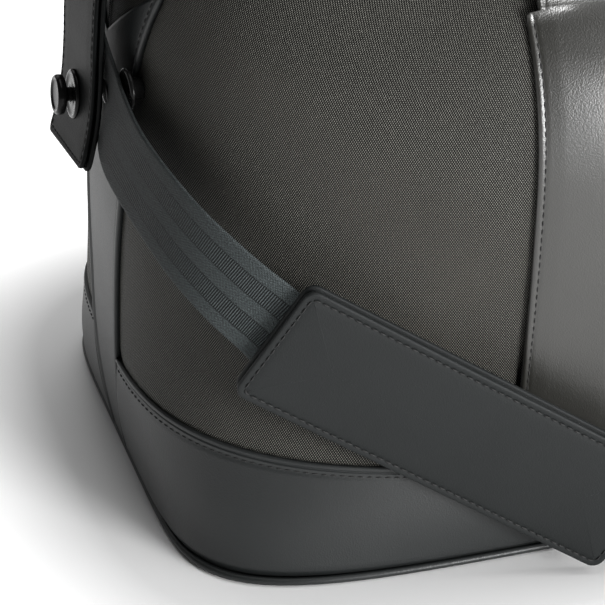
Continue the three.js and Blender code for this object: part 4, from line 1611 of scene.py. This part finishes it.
@dataclass
class EndTabs:
    """Two-layer leather tabs over the zip's ends, with gloss studs."""

    width: float = 56 * MM
    backing: float = 60 * MM
    thickness: float = 2.1 * MM
    second: float = 2.45 * MM
    stitch_inset: float = 2.6 * MM
    slant: float = 5 * MM
    stud_height: float = 183.6 * MM
    tilt: float = math.atan2(5, 48)
    stand: float = 3.75 * MM
    reach: float = 4.6 * MM
    knob: tuple[float, float] = (4.4 * MM, 8.8 * MM)
    corner: float = 5 * MM

    def path(self) -> Array:
        """The tab's middle line in the length-height plane, on the left.

        Returns:
            The line, N by 3.
        """
        pts = [(-192, 301.4), (-212, 301.4), (-238, 299), (-256.5, 287), (-267.5, 267),
               (-273.4, 243), (-276.2, 216), (-277.3, 200), (-279.3, 182), (-283, 165.5),
               (-286.5, 154.5)]
        line = smooth_line(np.array(pts) * MM, 16)
        line = np.column_stack([line[:, 0], np.zeros(len(line)), line[:, 1]])
        return resample(line, 1.2 * MM)

    def build(self) -> None:
        """Builds both tabs and their studs."""
        for side, word in ((-1, "left"), (1, "right")):
            # Both tab layers take the darker copy of the leather, which paints shade on them.
            self.layer(side, word, "end_tab_backing", self.backing, 0.0, Finish.SHADED_TAB)
            self.layer(side, word, "end_tab", self.width, self.second, Finish.SHADED_TAB)
            self.stud(side, word)
        LOG.info("tabs built")

    def layer(self, side: float, word: str, part: str, width: float, offset: float,
              finish: Finish) -> None:
        """Builds one leather layer of a tab.

        Args:
            side: -1 for the left end and +1 for the right.
            word: left or right.
            part: name of the layer.
            width: its width.
            offset: how far its middle is outside the path.
            finish: what it is made of.
        """
        line = self.path()
        t = headings(line)
        out = np.stack([t[:, 2], np.zeros(len(t)), -t[:, 0]], -1)
        out *= np.sign(out[len(out) // 2, 0]) * -1
        run = running(line)
        u = np.linspace(-1, 1, 48)
        u = np.sign(u) * (1 - (1 - np.abs(u)) ** 1.6)
        s = np.linspace(0, 1, 150)
        s = np.concatenate([s[:-1] * 0.97, 1 - 0.03 * np.linspace(1, 0, 10) ** 1.6])
        at = s * run[-1]
        end = np.minimum(at, run[-1] - at)
        cut = np.clip(1 - np.clip((run[-1] - at) / self.corner, 0, 1), 0, 1)
        half = width / 2 - self.corner * (1 - np.sqrt(np.clip(1 - cut ** 2, 0, 1))) * 0.9
        y = u[None] * half[:, None]
        edge = np.minimum(half[:, None] - np.abs(y), end[:, None])
        spot = at[:, None] * (1 - self.slant * (1 - u[None]) / 2 / run[-1])
        thick = self.thickness / 2 * np.clip(
            1 - (1 - np.clip(edge / (1.2 * MM), 0, 1)) ** 2.2, 0.03, 1) ** 0.5
        groove = 0.3 * MM * np.exp(-((edge - self.stitch_inset) / (0.75 * MM)) ** 2)
        swell = 0.25 * MM * smoothstep((edge - 3 * MM) / (9 * MM))
        base = np.stack([np.interp(spot, run, line[:, k]) for k in range(3)], -1)
        nrm = unit(np.stack([np.interp(spot, run, out[:, k]) for k in range(3)], -1))
        mid = base + [0, 1, 0] * y[..., None] + nrm * offset
        outer = mid + nrm * (thick - groove + swell)[..., None]
        inner = mid - nrm * thick[..., None]
        name = f"{part}_{word}"
        piece = slab(f"{name}_leather", mirror(outer, -side), mirror(inner, -side), finish)
        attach(piece, f"tab_{word}")
        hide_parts(name)
        if offset == 0:
            return
        inset = self.stitch_inset
        down = np.stack([at[at < run[-1] - inset], 0 * at[at < run[-1] - inset] + 1], 0)
        ys = np.interp(down[0], at, half) - inset
        left = np.column_stack([down[0], -ys])
        bottom = np.column_stack([np.full(12, run[-1] - inset), np.linspace(-ys[-1], ys[-1], 12)])
        right = left[::-1] * [1, -1]
        loop = np.vstack([left[4:], bottom[1:-1], right[:-4]])
        place = loop[:, 0] * (1 - self.slant * (1 - loop[:, 1] / (width / 2)) / 2 / run[-1])
        pos = np.stack([np.interp(place, run, line[:, k]) for k in range(3)], -1)
        nm = unit(np.stack([np.interp(place, run, out[:, k]) for k in range(3)], -1))
        pos = pos + nm * (offset + self.thickness / 2 - 0.1 * MM)
        pos[:, 1] = loop[:, 1]
        sewn = Stitching().run(f"{name}_stitches", mirror(pos, -side), mirror(nm, -side))
        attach(sewn, f"tab_{word}")

    def stud(self, side: float, word: str) -> None:
        """Builds the tab's washer and knob.

        Args:
            side: -1 for one side and +1 for the other.
            word: the piece's last name.
        """
        line = self.path()
        low = line[line[:, 0] < -260 * MM]
        near = low[np.argmin(np.abs(low[:, 2] - self.stud_height))]
        axis = np.array([side * math.cos(self.tilt), 0, math.sin(self.tilt)])
        place = near * [-side, 1, 1]
        STUDS.washer_on(f"tab_washer_{word}", place, axis, self.stand, f"tab_{word}")
        STUDS.knob_on(f"tab_knob_{word}", place, axis, self.stand,
                      self.stand + self.reach, *self.knob, f"tab_{word}")


@dataclass
class StudMaker:
    """Washer, neck and round head of a stud."""

    washer: float = 11 * MM
    washer_thick: float = 1.8 * MM
    neck: float = 3 * MM

    def washer_on(self, node: str, place: Array, axis: Array, stand: float,
                  body: str, size: float = 11 * MM, boss: float = 0.0) -> None:
        """Builds a washer.

        Args:
            node: the CAD name of the washer.
            place: foot of the stud.
            axis: the way it points.
            stand: where the washer starts.
            body: what it rides on.
            size: its radius.
            boss: radius of the solid foot under it, or 0 for an open washer.
        """
        w, top = size, stand + self.washer_thick
        ring = [(self.neck + 0.4 * MM, stand), (w - 0.3 * MM, stand), (w, stand + 0.5 * MM),
                (w - 0.2 * MM, top - 0.5 * MM), (w - 0.9 * MM, top), (w - 1.9 * MM, top - 0.1 * MM),
                (w - 2.5 * MM, top - 0.5 * MM), (self.neck + 1.6 * MM, top - 0.5 * MM),
                (self.neck + 0.4 * MM, top)]
        if boss:
            ring = [(0, -1 * MM), (boss, -1 * MM), (boss, stand), *ring[1:-2],
                    (0, top - 0.5 * MM)]
        washer = turned(f"{node}_metal", ring, place, axis, Finish.METAL)
        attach(washer, body)
        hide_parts(node)

    def knob_on(self, node: str, place: Array, axis: Array, stand: float, under: float,
                thick: float, head: float, body: str) -> None:
        """Builds a knob on its neck.

        Args:
            node: the CAD name of the knob.
            place: foot of the stud.
            axis: the way it points.
            stand: where the neck starts.
            under: where the head starts.
            thick: the head's thickness.
            head: the head's radius.
            body: what it rides on.
        """
        over, neck = under + thick, self.neck
        if thick < 3 * MM:
            knob = [(0, stand), (neck, stand), (neck, under), (head - 0.5 * MM, under),
                    (head, under + 0.3 * MM), (head - 0.8 * MM, over - 0.2 * MM), (0, over)]
        else:
            knob = [(0, stand), (neck, stand), (neck, under - 1.4 * MM),
                    (neck + 1.3 * MM, under - 0.2 * MM), (head - 1.6 * MM, under),
                    (head, under + 0.8 * MM), (head, over - 1.1 * MM),
                    (head - 0.8 * MM, over), (head - 2.0 * MM, over - 0.2 * MM),
                    (head - 3.0 * MM, over - 0.9 * MM), (0, over - 1.1 * MM)]
        piece = turned(f"{node}_metal", rounded(knob, 0.7 * MM), place, axis, Finish.METAL)
        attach(piece, body)
        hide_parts(node)


STUDS = StudMaker()


@dataclass
class Strap:
    """Shoulder strap of webbing, its end studs and the stitched pad."""

    width: float = 38 * MM
    thickness: float = 1.8 * MM
    pad_length: float = 186 * MM
    pad_width: float = 60 * MM
    pad_plate: float = 2.2 * MM
    gap: float = 0.35 * MM
    pad_stitch_inset: float = 3.2 * MM
    pad_corner: float = 5.5 * MM
    stud: tuple[float, float, float] = (-269.6 * MM, -27 * MM, 196 * MM)
    keeper: tuple[float, float] = (-43.5 * MM, 203 * MM)
    washer: float = 9.3 * MM
    keeper_stand: float = 4.6 * MM
    pad_start: tuple[float, float, float] = (-235 * MM, -133.5 * MM, 127.5 * MM)

    def axes(self) -> Array:
        """The pad's own axes: along, across and outward.

        Returns:
            3 by 3, one axis in each row.
        """
        along = unit(np.array([0.827, -0.183, -0.532]))
        across = np.array([0.498, -0.202, 0.843])
        across = unit(across - along * (across @ along))
        return np.stack([along, across, np.cross(along, across)])

    def stations(self) -> tuple[Array, Array]:
        """Middle line of the webbing and the way its outer face looks.

        Returns:
            The line and the directions, both N by 3.
        """
        along, _, outward = self.axes()
        start = np.array(self.pad_start)
        # The last nine rows of this list are the output of a fitting program. They were not
        # chosen by hand.
        end = [((-273.9, -12, 208), (-0.99, 0.1, 0.05)),
               ((-273.9, -27, 196), (-0.98, 0.1, 0.13)),
               ((-276.0, -39.3, 189), (-0.975, -0.02, 0.2)),
               ((-276.0, -51.9, 183), (-0.963, -0.2, 0.17)),
               ((-274, -64.5, 177.6), (-0.947, -0.297, 0.125)),
               ((-270.4, -77.3, 171.6), (-0.931, -0.346, 0.116)),
               ((-266.2, -89.6, 165.6), (-0.898, -0.423, 0.122)),
               ((-260.9, -101.2, 158.8), (-0.831, -0.545, 0.115)),
               ((-253.7, -111.6, 151), (-0.726, -0.68, 0.1)),
               ((-244.8, -120.9, 142.1), (-0.616, -0.784, 0.081)),
               ((-234.1, -128.9, 132.5), (-0.515, -0.855, 0.063))]
        pad = [(tuple((start + along * s * MM) / MM), tuple(outward))
               for s in (18, 45, 90, 150, 192, 200)]
        low = [((-56, -171, 21.6), (-0.12, -0.99, -0.02)), ((-25, -174, 19.7), (-0.05, -1, 0)),
               ((20, -175, 19.6), (0, -1, 0)), ((70, -173, 23.5), (0.04, -1, 0)),
               ((120, -163, 39), (0.1, -0.99, 0)), ((165, -153, 66), (0.16, -0.98, 0)),
               ((205, -139, 97), (0.26, -0.96, -0.04))]
        away = [((-p[0], p[1], p[2]), (-n[0], n[1], n[2])) for p, n in end][::-1]
        rows = [*end, *pad, *low, *away]
        line = centripetal(np.array([p for p, _ in rows]) * MM, 14)
        face = centripetal(np.array([n for _, n in rows], float), 14)
        return line, unit(face)

    def build(self) -> None:
        """Builds the studs, the webbing and the pad."""
        for side, word in ((-1, "left"), (1, "right")):
            place = np.array(self.stud) * [-side, 1, 1]
            seat = np.array([-FORM.end_x(*np.array(self.keeper)), *self.keeper])
            axis = unit(FORM.normal(seat) + [-3, 0, 0]) * [-side, 1, 1]
            STUDS.washer_on(f"strap_washer_{word}", FORM.lift(seat, PROUD) * [-side, 1, 1],
                            axis, self.keeper_stand, "bag", self.washer, 4.5 * MM)
            STUDS.knob_on(f"strap_knob_{word}", place, np.array([side, 0, 0]), 0.0,
                          5.4 * MM, 1.1 * MM, 5.5 * MM, "bag")
        self.webbing()
        self.pad()
        LOG.info("strap built")

    def webbing(self) -> None:
        """Builds the webbing from stud to stud."""
        line, face = self.stations()
        wide = unit(np.cross(face, headings(line)))
        up = unit(np.cross(headings(line), wide))
        run = running(line)
        u = np.linspace(-1, 1, 30)
        u = np.sign(u) * (1 - (1 - np.abs(u)) ** 1.4)
        half = self.width / 2
        edge = half * (1 - np.abs(u))
        thick = self.thickness / 2 * np.clip(
            1 - (1 - np.clip(edge / (0.9 * MM), 0, 1)) ** 2, 0.05, 1) ** 0.5
        y = u * half
        outer = line[:, None] + wide[:, None] * y[None, :, None] + up[:, None] * thick[
            None, :, None]
        inner = line[:, None] + wide[:, None] * y[None, :, None] - up[:, None] * thick[
            None, :, None]
        uv = np.stack(np.broadcast_arrays(run[:, None], y[None]), -1)
        piece = slab("strap_webbing_weave", outer, inner, Finish.WEBBING, uv)
        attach(piece, "strap")
        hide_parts("strap_webbing")
        LOG.info("webbing is %.3f m long", run[-1])

    def pad(self) -> None:
        """Builds the pad's two leather layers."""
        basis = self.axes()
        place = np.array(self.pad_start)
        inner = self.thickness / 2 + self.gap
        outline = round_outline(self.pad_length, self.pad_width, self.pad_corner, 12)
        for word, way in (("front", 1), ("back", -1)):
            piece = self.pad_layer(f"pad_{word}_leather", outline, place, basis,
                                   way * inner, way * (inner + self.pad_plate))
            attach(piece, "pad")
            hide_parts(f"pad_{word}")
            inset = self.pad_stitch_inset
            loop = round_outline(self.pad_length - 2 * inset, self.pad_width - 2 * inset,
                                 3 * MM, 12)
            loop = np.vstack([loop, loop[:1]]) + [inset, 0]
            line = np.column_stack([loop, np.full(len(loop),
                                                  way * (inner + self.pad_plate + 0.12 * MM))])
            line = place + line @ basis
            facing = np.broadcast_to(basis[2] * way, line.shape)
            sewn = Stitching().run(f"pad_{word}_stitches", line, facing)
            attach(sewn, "pad")

    def pad_layer(self, name: str, outline: Array, place: Array, basis: Array, low: float,
                  high: float) -> bpy.types.Object:
        """Builds one padded leather layer with a turned edge.

        Args:
            name: the piece's name.
            outline: closed outline.
            place: its origin.
            basis: its own axes.
            low: height of its inner face.
            high: height of its outer face.

        Returns:
            The new object.
        """
        t = unit(np.roll(outline, -1, 0) - np.roll(outline, 1, 0))
        inward = np.stack([-t[:, 1], t[:, 0]], 1)
        way = np.sign(high - low)
        rows = []
        for d, h in ((0.7, 0.0), (0.2, 0.1), (0.0, 0.4), (0.05, 0.75), (0.35, 0.97),
                     (0.9, 1.04), (1.6, 1.05), (2.3, 1.01), (2.8, 0.95), (3.2, 0.9),
                     (3.7, 0.93), (4.4, 1.02), (6.0, 1.1)):
            rows.append((outline + inward * d * MM, low + (high - low) * h))
        spine = np.column_stack([np.clip(outline[:, 0], 30 * MM, self.pad_length - 30 * MM),
                                 outline[:, 1] * 0])
        last = rows[-1][0]
        for share in (0.9, 0.75, 0.5, 0.25, 0.02):
            level = high + way * 0.6 * MM * (1 - share ** 2) + (high - low) * 0.12
            rows.append((spine + (last - spine) * share, level))
        first = rows[0][0]
        for share in (0.7, 0.35, 0.02):
            rows.insert(0, (spine + (first - spine) * share, low))
        loops = np.stack([np.column_stack([xy, np.full(len(xy), z)]) for xy, z in rows])
        return sweep(name, place + loops @ basis, Finish.PAD)


def centripetal(p: Array, per: int) -> Array:
    """A centripetal Catmull-Rom line through points.

    Args:
        p: the points, N by 3.
        per: samples for each span.

    Returns:
        The sampled line.
    """
    q = np.vstack([2 * p[0] - p[1], p, 2 * p[-1] - p[-2]])
    out = []
    for i in range(1, len(q) - 2):
        p0, p1, p2, p3 = q[i - 1:i + 3]
        d1, d2, d3 = (max(np.linalg.norm(b - a) ** 0.5, 1e-4)
                      for a, b in ((p0, p1), (p1, p2), (p2, p3)))
        m1 = (p1 - p0) / d1 - (p2 - p0) / (d1 + d2) + (p2 - p1) / d2
        m2 = (p2 - p1) / d2 - (p3 - p1) / (d2 + d3) + (p3 - p2) / d3
        m1, m2 = m1 * d2, m2 * d2
        t = np.linspace(0, 1, per, endpoint=False)[:, None]
        out.append((2 * t ** 3 - 3 * t ** 2 + 1) * p1 + (t ** 3 - 2 * t ** 2 + t) * m1
                   + (3 * t ** 2 - 2 * t ** 3) * p2 + (t ** 3 - t ** 2) * m2)
    return np.vstack([*out, p[-1][None]])


@dataclass
class Inside:
    """Loose lining and stiffener board."""

    inset: float = 3.9 * MM
    lining: float = 1.2 * MM
    floor: float = 5.4 * MM
    mouth: tuple[float, float] = (187 * MM, 15.6 * MM)
    board: tuple[float, float] = (2.55 * MM, 4.95 * MM)
    board_inset: float = 7 * MM

    def build(self) -> None:
        """Builds the lining and the stiffener board."""
        shell = self.shell(self.inset, self.floor)
        inner = self.shell(self.inset + self.lining, self.floor + self.lining)
        piece = slab_ring("lining_cloth", shell, inner, Finish.LINING)
        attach(piece, "bag")
        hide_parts("lining")
        phi = np.linspace(0, 2 * math.pi, 240, endpoint=False)
        edge = FORM.lift(FORM.polar(phi, np.zeros(phi.shape)), -self.board_inset)[:, :2]
        board = plate("bottom_board_sheet", edge, np.zeros(3), np.eye(3), self.board[0],
                      self.board[1], 0.5 * MM, Finish.BOARD)
        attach(board, "bag")
        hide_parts("bottom_board")
        LOG.info("inside built")

    def shell(self, inset: float, floor: float) -> Array:
        """One face of the lining, from the mouth's edge down to the middle of the floor.

        Args:
            inset: how far it lies inside the body.
            floor: height of its floor.

        Returns:
            Rows of points round the bag, by 3.
        """
        phi = np.linspace(0, 2 * math.pi, 160, endpoint=False)
        top = FORM.height - inset
        rows = []
        for z in np.concatenate([np.linspace(294, 262, 12), np.linspace(256, 12, 40)]) * MM:
            p = FORM.polar(phi, np.full(phi.shape, z))
            rows.append(FORM.lift(p, -inset))
        first = rows[0].copy()
        edge = np.stack([np.sign(np.cos(phi)) * np.minimum(
            np.abs(np.cos(phi)) * 3, 1) * self.mouth[0],
            np.sin(phi) * self.mouth[1], np.full(phi.shape, top)], -1)
        for share in (0.25, 0.55, 0.8, 1.0):
            ring = first + (edge - first) * share
            ring[:, 2] = np.maximum(ring[:, 2], first[:, 2])
            rows.insert(0, ring)
        last = rows[-1].copy()
        for share in (0.98, 0.7, 0.4, 0.02):
            ring = last * [share, share, 0] + [0, 0, floor]
            rows.append(ring)
        return np.stack(rows)


def slab_ring(name: str, outer: Array, inner: Array, finish: Finish) -> bpy.types.Object:
    """A closed shell between two grids whose columns run all the way round.

    Args:
        name: the piece's name.
        outer: rows by cols by 3.
        inner: the same for the other face.
        finish: what it is made of.

    Returns:
        The new object.
    """
    rows, cols = outer.shape[:2]
    size = rows * cols
    verts = np.vstack([outer.reshape(-1, 3), inner.reshape(-1, 3)])
    faces = grid_faces(rows, cols, wrap=True) + grid_faces(rows, cols, size, wrap=True, flip=True)
    for j in range(cols):
        k = (j + 1) % cols
        faces.append([k, j, j + size, k + size])
    end = (rows - 1) * cols
    faces.append([end + j for j in range(cols)])
    faces.append([end + size + j for j in range(cols)][::-1])
    obj = new_object(name, verts, faces, finish)
    face_outward(obj)
    return obj


@dataclass
class Studio:
    """Pale floor that glows as painted light away from the bag, soft light and the camera."""

    camera_at: tuple[float, float, float] = (-0.4765, -0.9352, 0.6221)
    pitch: float = 60.265
    yaw: float = -17.656
    lens: float = 142.81
    # How strongly the floor glows away from the bag, as painted light.
    painted_floor_glow: float = 0.8
    paper_size: float = 6.0
    # Half-sizes of the unlit patch of floor round the bag, kept dark as painted shadow.
    painted_shade: tuple[float, float] = (0.31, 0.19)

    def build(self) -> None:
        """Builds the floor, lights and camera."""
        self.floor()
        self.world(0.085)
        self.area("key_light", (0.85, -1.88, 0.35), (0.05, -0.1, 0.16), (0.8, 0.75), 80)
        self.area("top_light", (0.5, 0.1, 2.4), (0, 0, 0), (2.2, 2.2), 44)
        self.area("fill_light", (1.4, -1.5, 1.6), (0.1, -0.2, 0), (1.6, 1.6), 18)
        self.area("back_light", (-0.6, 2.0, 1.4), (-0.2, 0.3, 0.1), (1.6, 1.2), 6)
        self.camera()
        scene = bpy.context.scene
        scene.view_settings.view_transform = "Standard"
        LOG.info("studio built")

    def floor(self) -> None:
        """Builds the floor, whose glow is painted light that fades out close to the bag, leaving
        painted shadow there.
        """
        corners = ((-1, -1, 0), (1, -1, 0), (1, 1, 0), (-1, 1, 0))
        verts = np.array(corners) * self.paper_size
        mesh = bpy.data.meshes.new("floor")
        mesh.from_pydata(verts.tolist(), [], [[0, 1, 2, 3]])
        obj = bpy.data.objects.new("floor", mesh)
        bpy.context.scene.collection.objects.link(obj)
        m = ShaderMaker("paper_floor")
        tone = m.noise(m.place(), 3.0, 2.0)
        colour = m.mix_colour(tone, grey(0.9), grey(0.93))
        x, y = (m.part(m.place(), index) for index in range(2))
        # Painted light: the floor's emission grows with distance from the bag and is zero close to
        # it, which keeps the shadow there dark.
        away = ((x / self.painted_shade[0]) ** 4 + (y / self.painted_shade[1]) ** 4) ** 0.25
        painted_glow_share = ((away - 0.95) * 3.4).at_least(0.0).at_most(1.0)
        painted_floor_light = m.mix_colour(painted_glow_share, grey(0.0), grey(self.painted_floor_glow))
        mesh.materials.append(m.finish({"Base Color": colour, "Roughness": 0.8,
                                        "Specular IOR Level": 0.2, "Emission Color": painted_floor_light,
                                        "Emission Strength": 1.0}))

    def world(self, strength: float) -> None:
        """Sets an even, white surround.

        Args:
            strength: how bright it is.
        """
        world = bpy.data.worlds.new("surround")
        world.use_nodes = True
        back = world.node_tree.nodes["Background"]
        back.inputs["Color"].default_value = (1, 1, 1, 1)
        back.inputs["Strength"].default_value = strength
        bpy.context.scene.world = world

    def area(self, name: str, at: tuple, aim: tuple, size: tuple, power: float) -> None:
        """Adds a soft box.

        Args:
            name: the light's name.
            at: where it stands.
            aim: what it looks at.
            size: width and height.
            power: watts.
        """
        light = bpy.data.lights.new(name, "AREA")
        light.shape = "RECTANGLE"
        light.size, light.size_y = size
        light.energy = power
        obj = bpy.data.objects.new(name, light)
        obj.location = at
        obj.rotation_euler = (Vector(aim) - Vector(at)).to_track_quat("-Z", "Y").to_euler()
        bpy.context.scene.collection.objects.link(obj)

    def camera(self) -> None:
        """Adds the camera."""
        cam = bpy.data.cameras.new("camera")
        cam.lens = self.lens
        cam.sensor_width = 36
        obj = bpy.data.objects.new("camera", cam)
        obj.location = self.camera_at
        obj.rotation_euler = (math.radians(self.pitch), 0, math.radians(self.yaw))
        bpy.context.scene.collection.objects.link(obj)
        bpy.context.scene.camera = obj


def main() -> None:
    """Builds and dresses the bag, then lights it."""
    for part in (Base(), WovenPanels(), Gussets(), ZipPanel(), Fastener(), Handles(),
                 EndTabs(), Strap(), Inside(), Studio()):
        part.build()


if __name__ == "__main__":
    main()
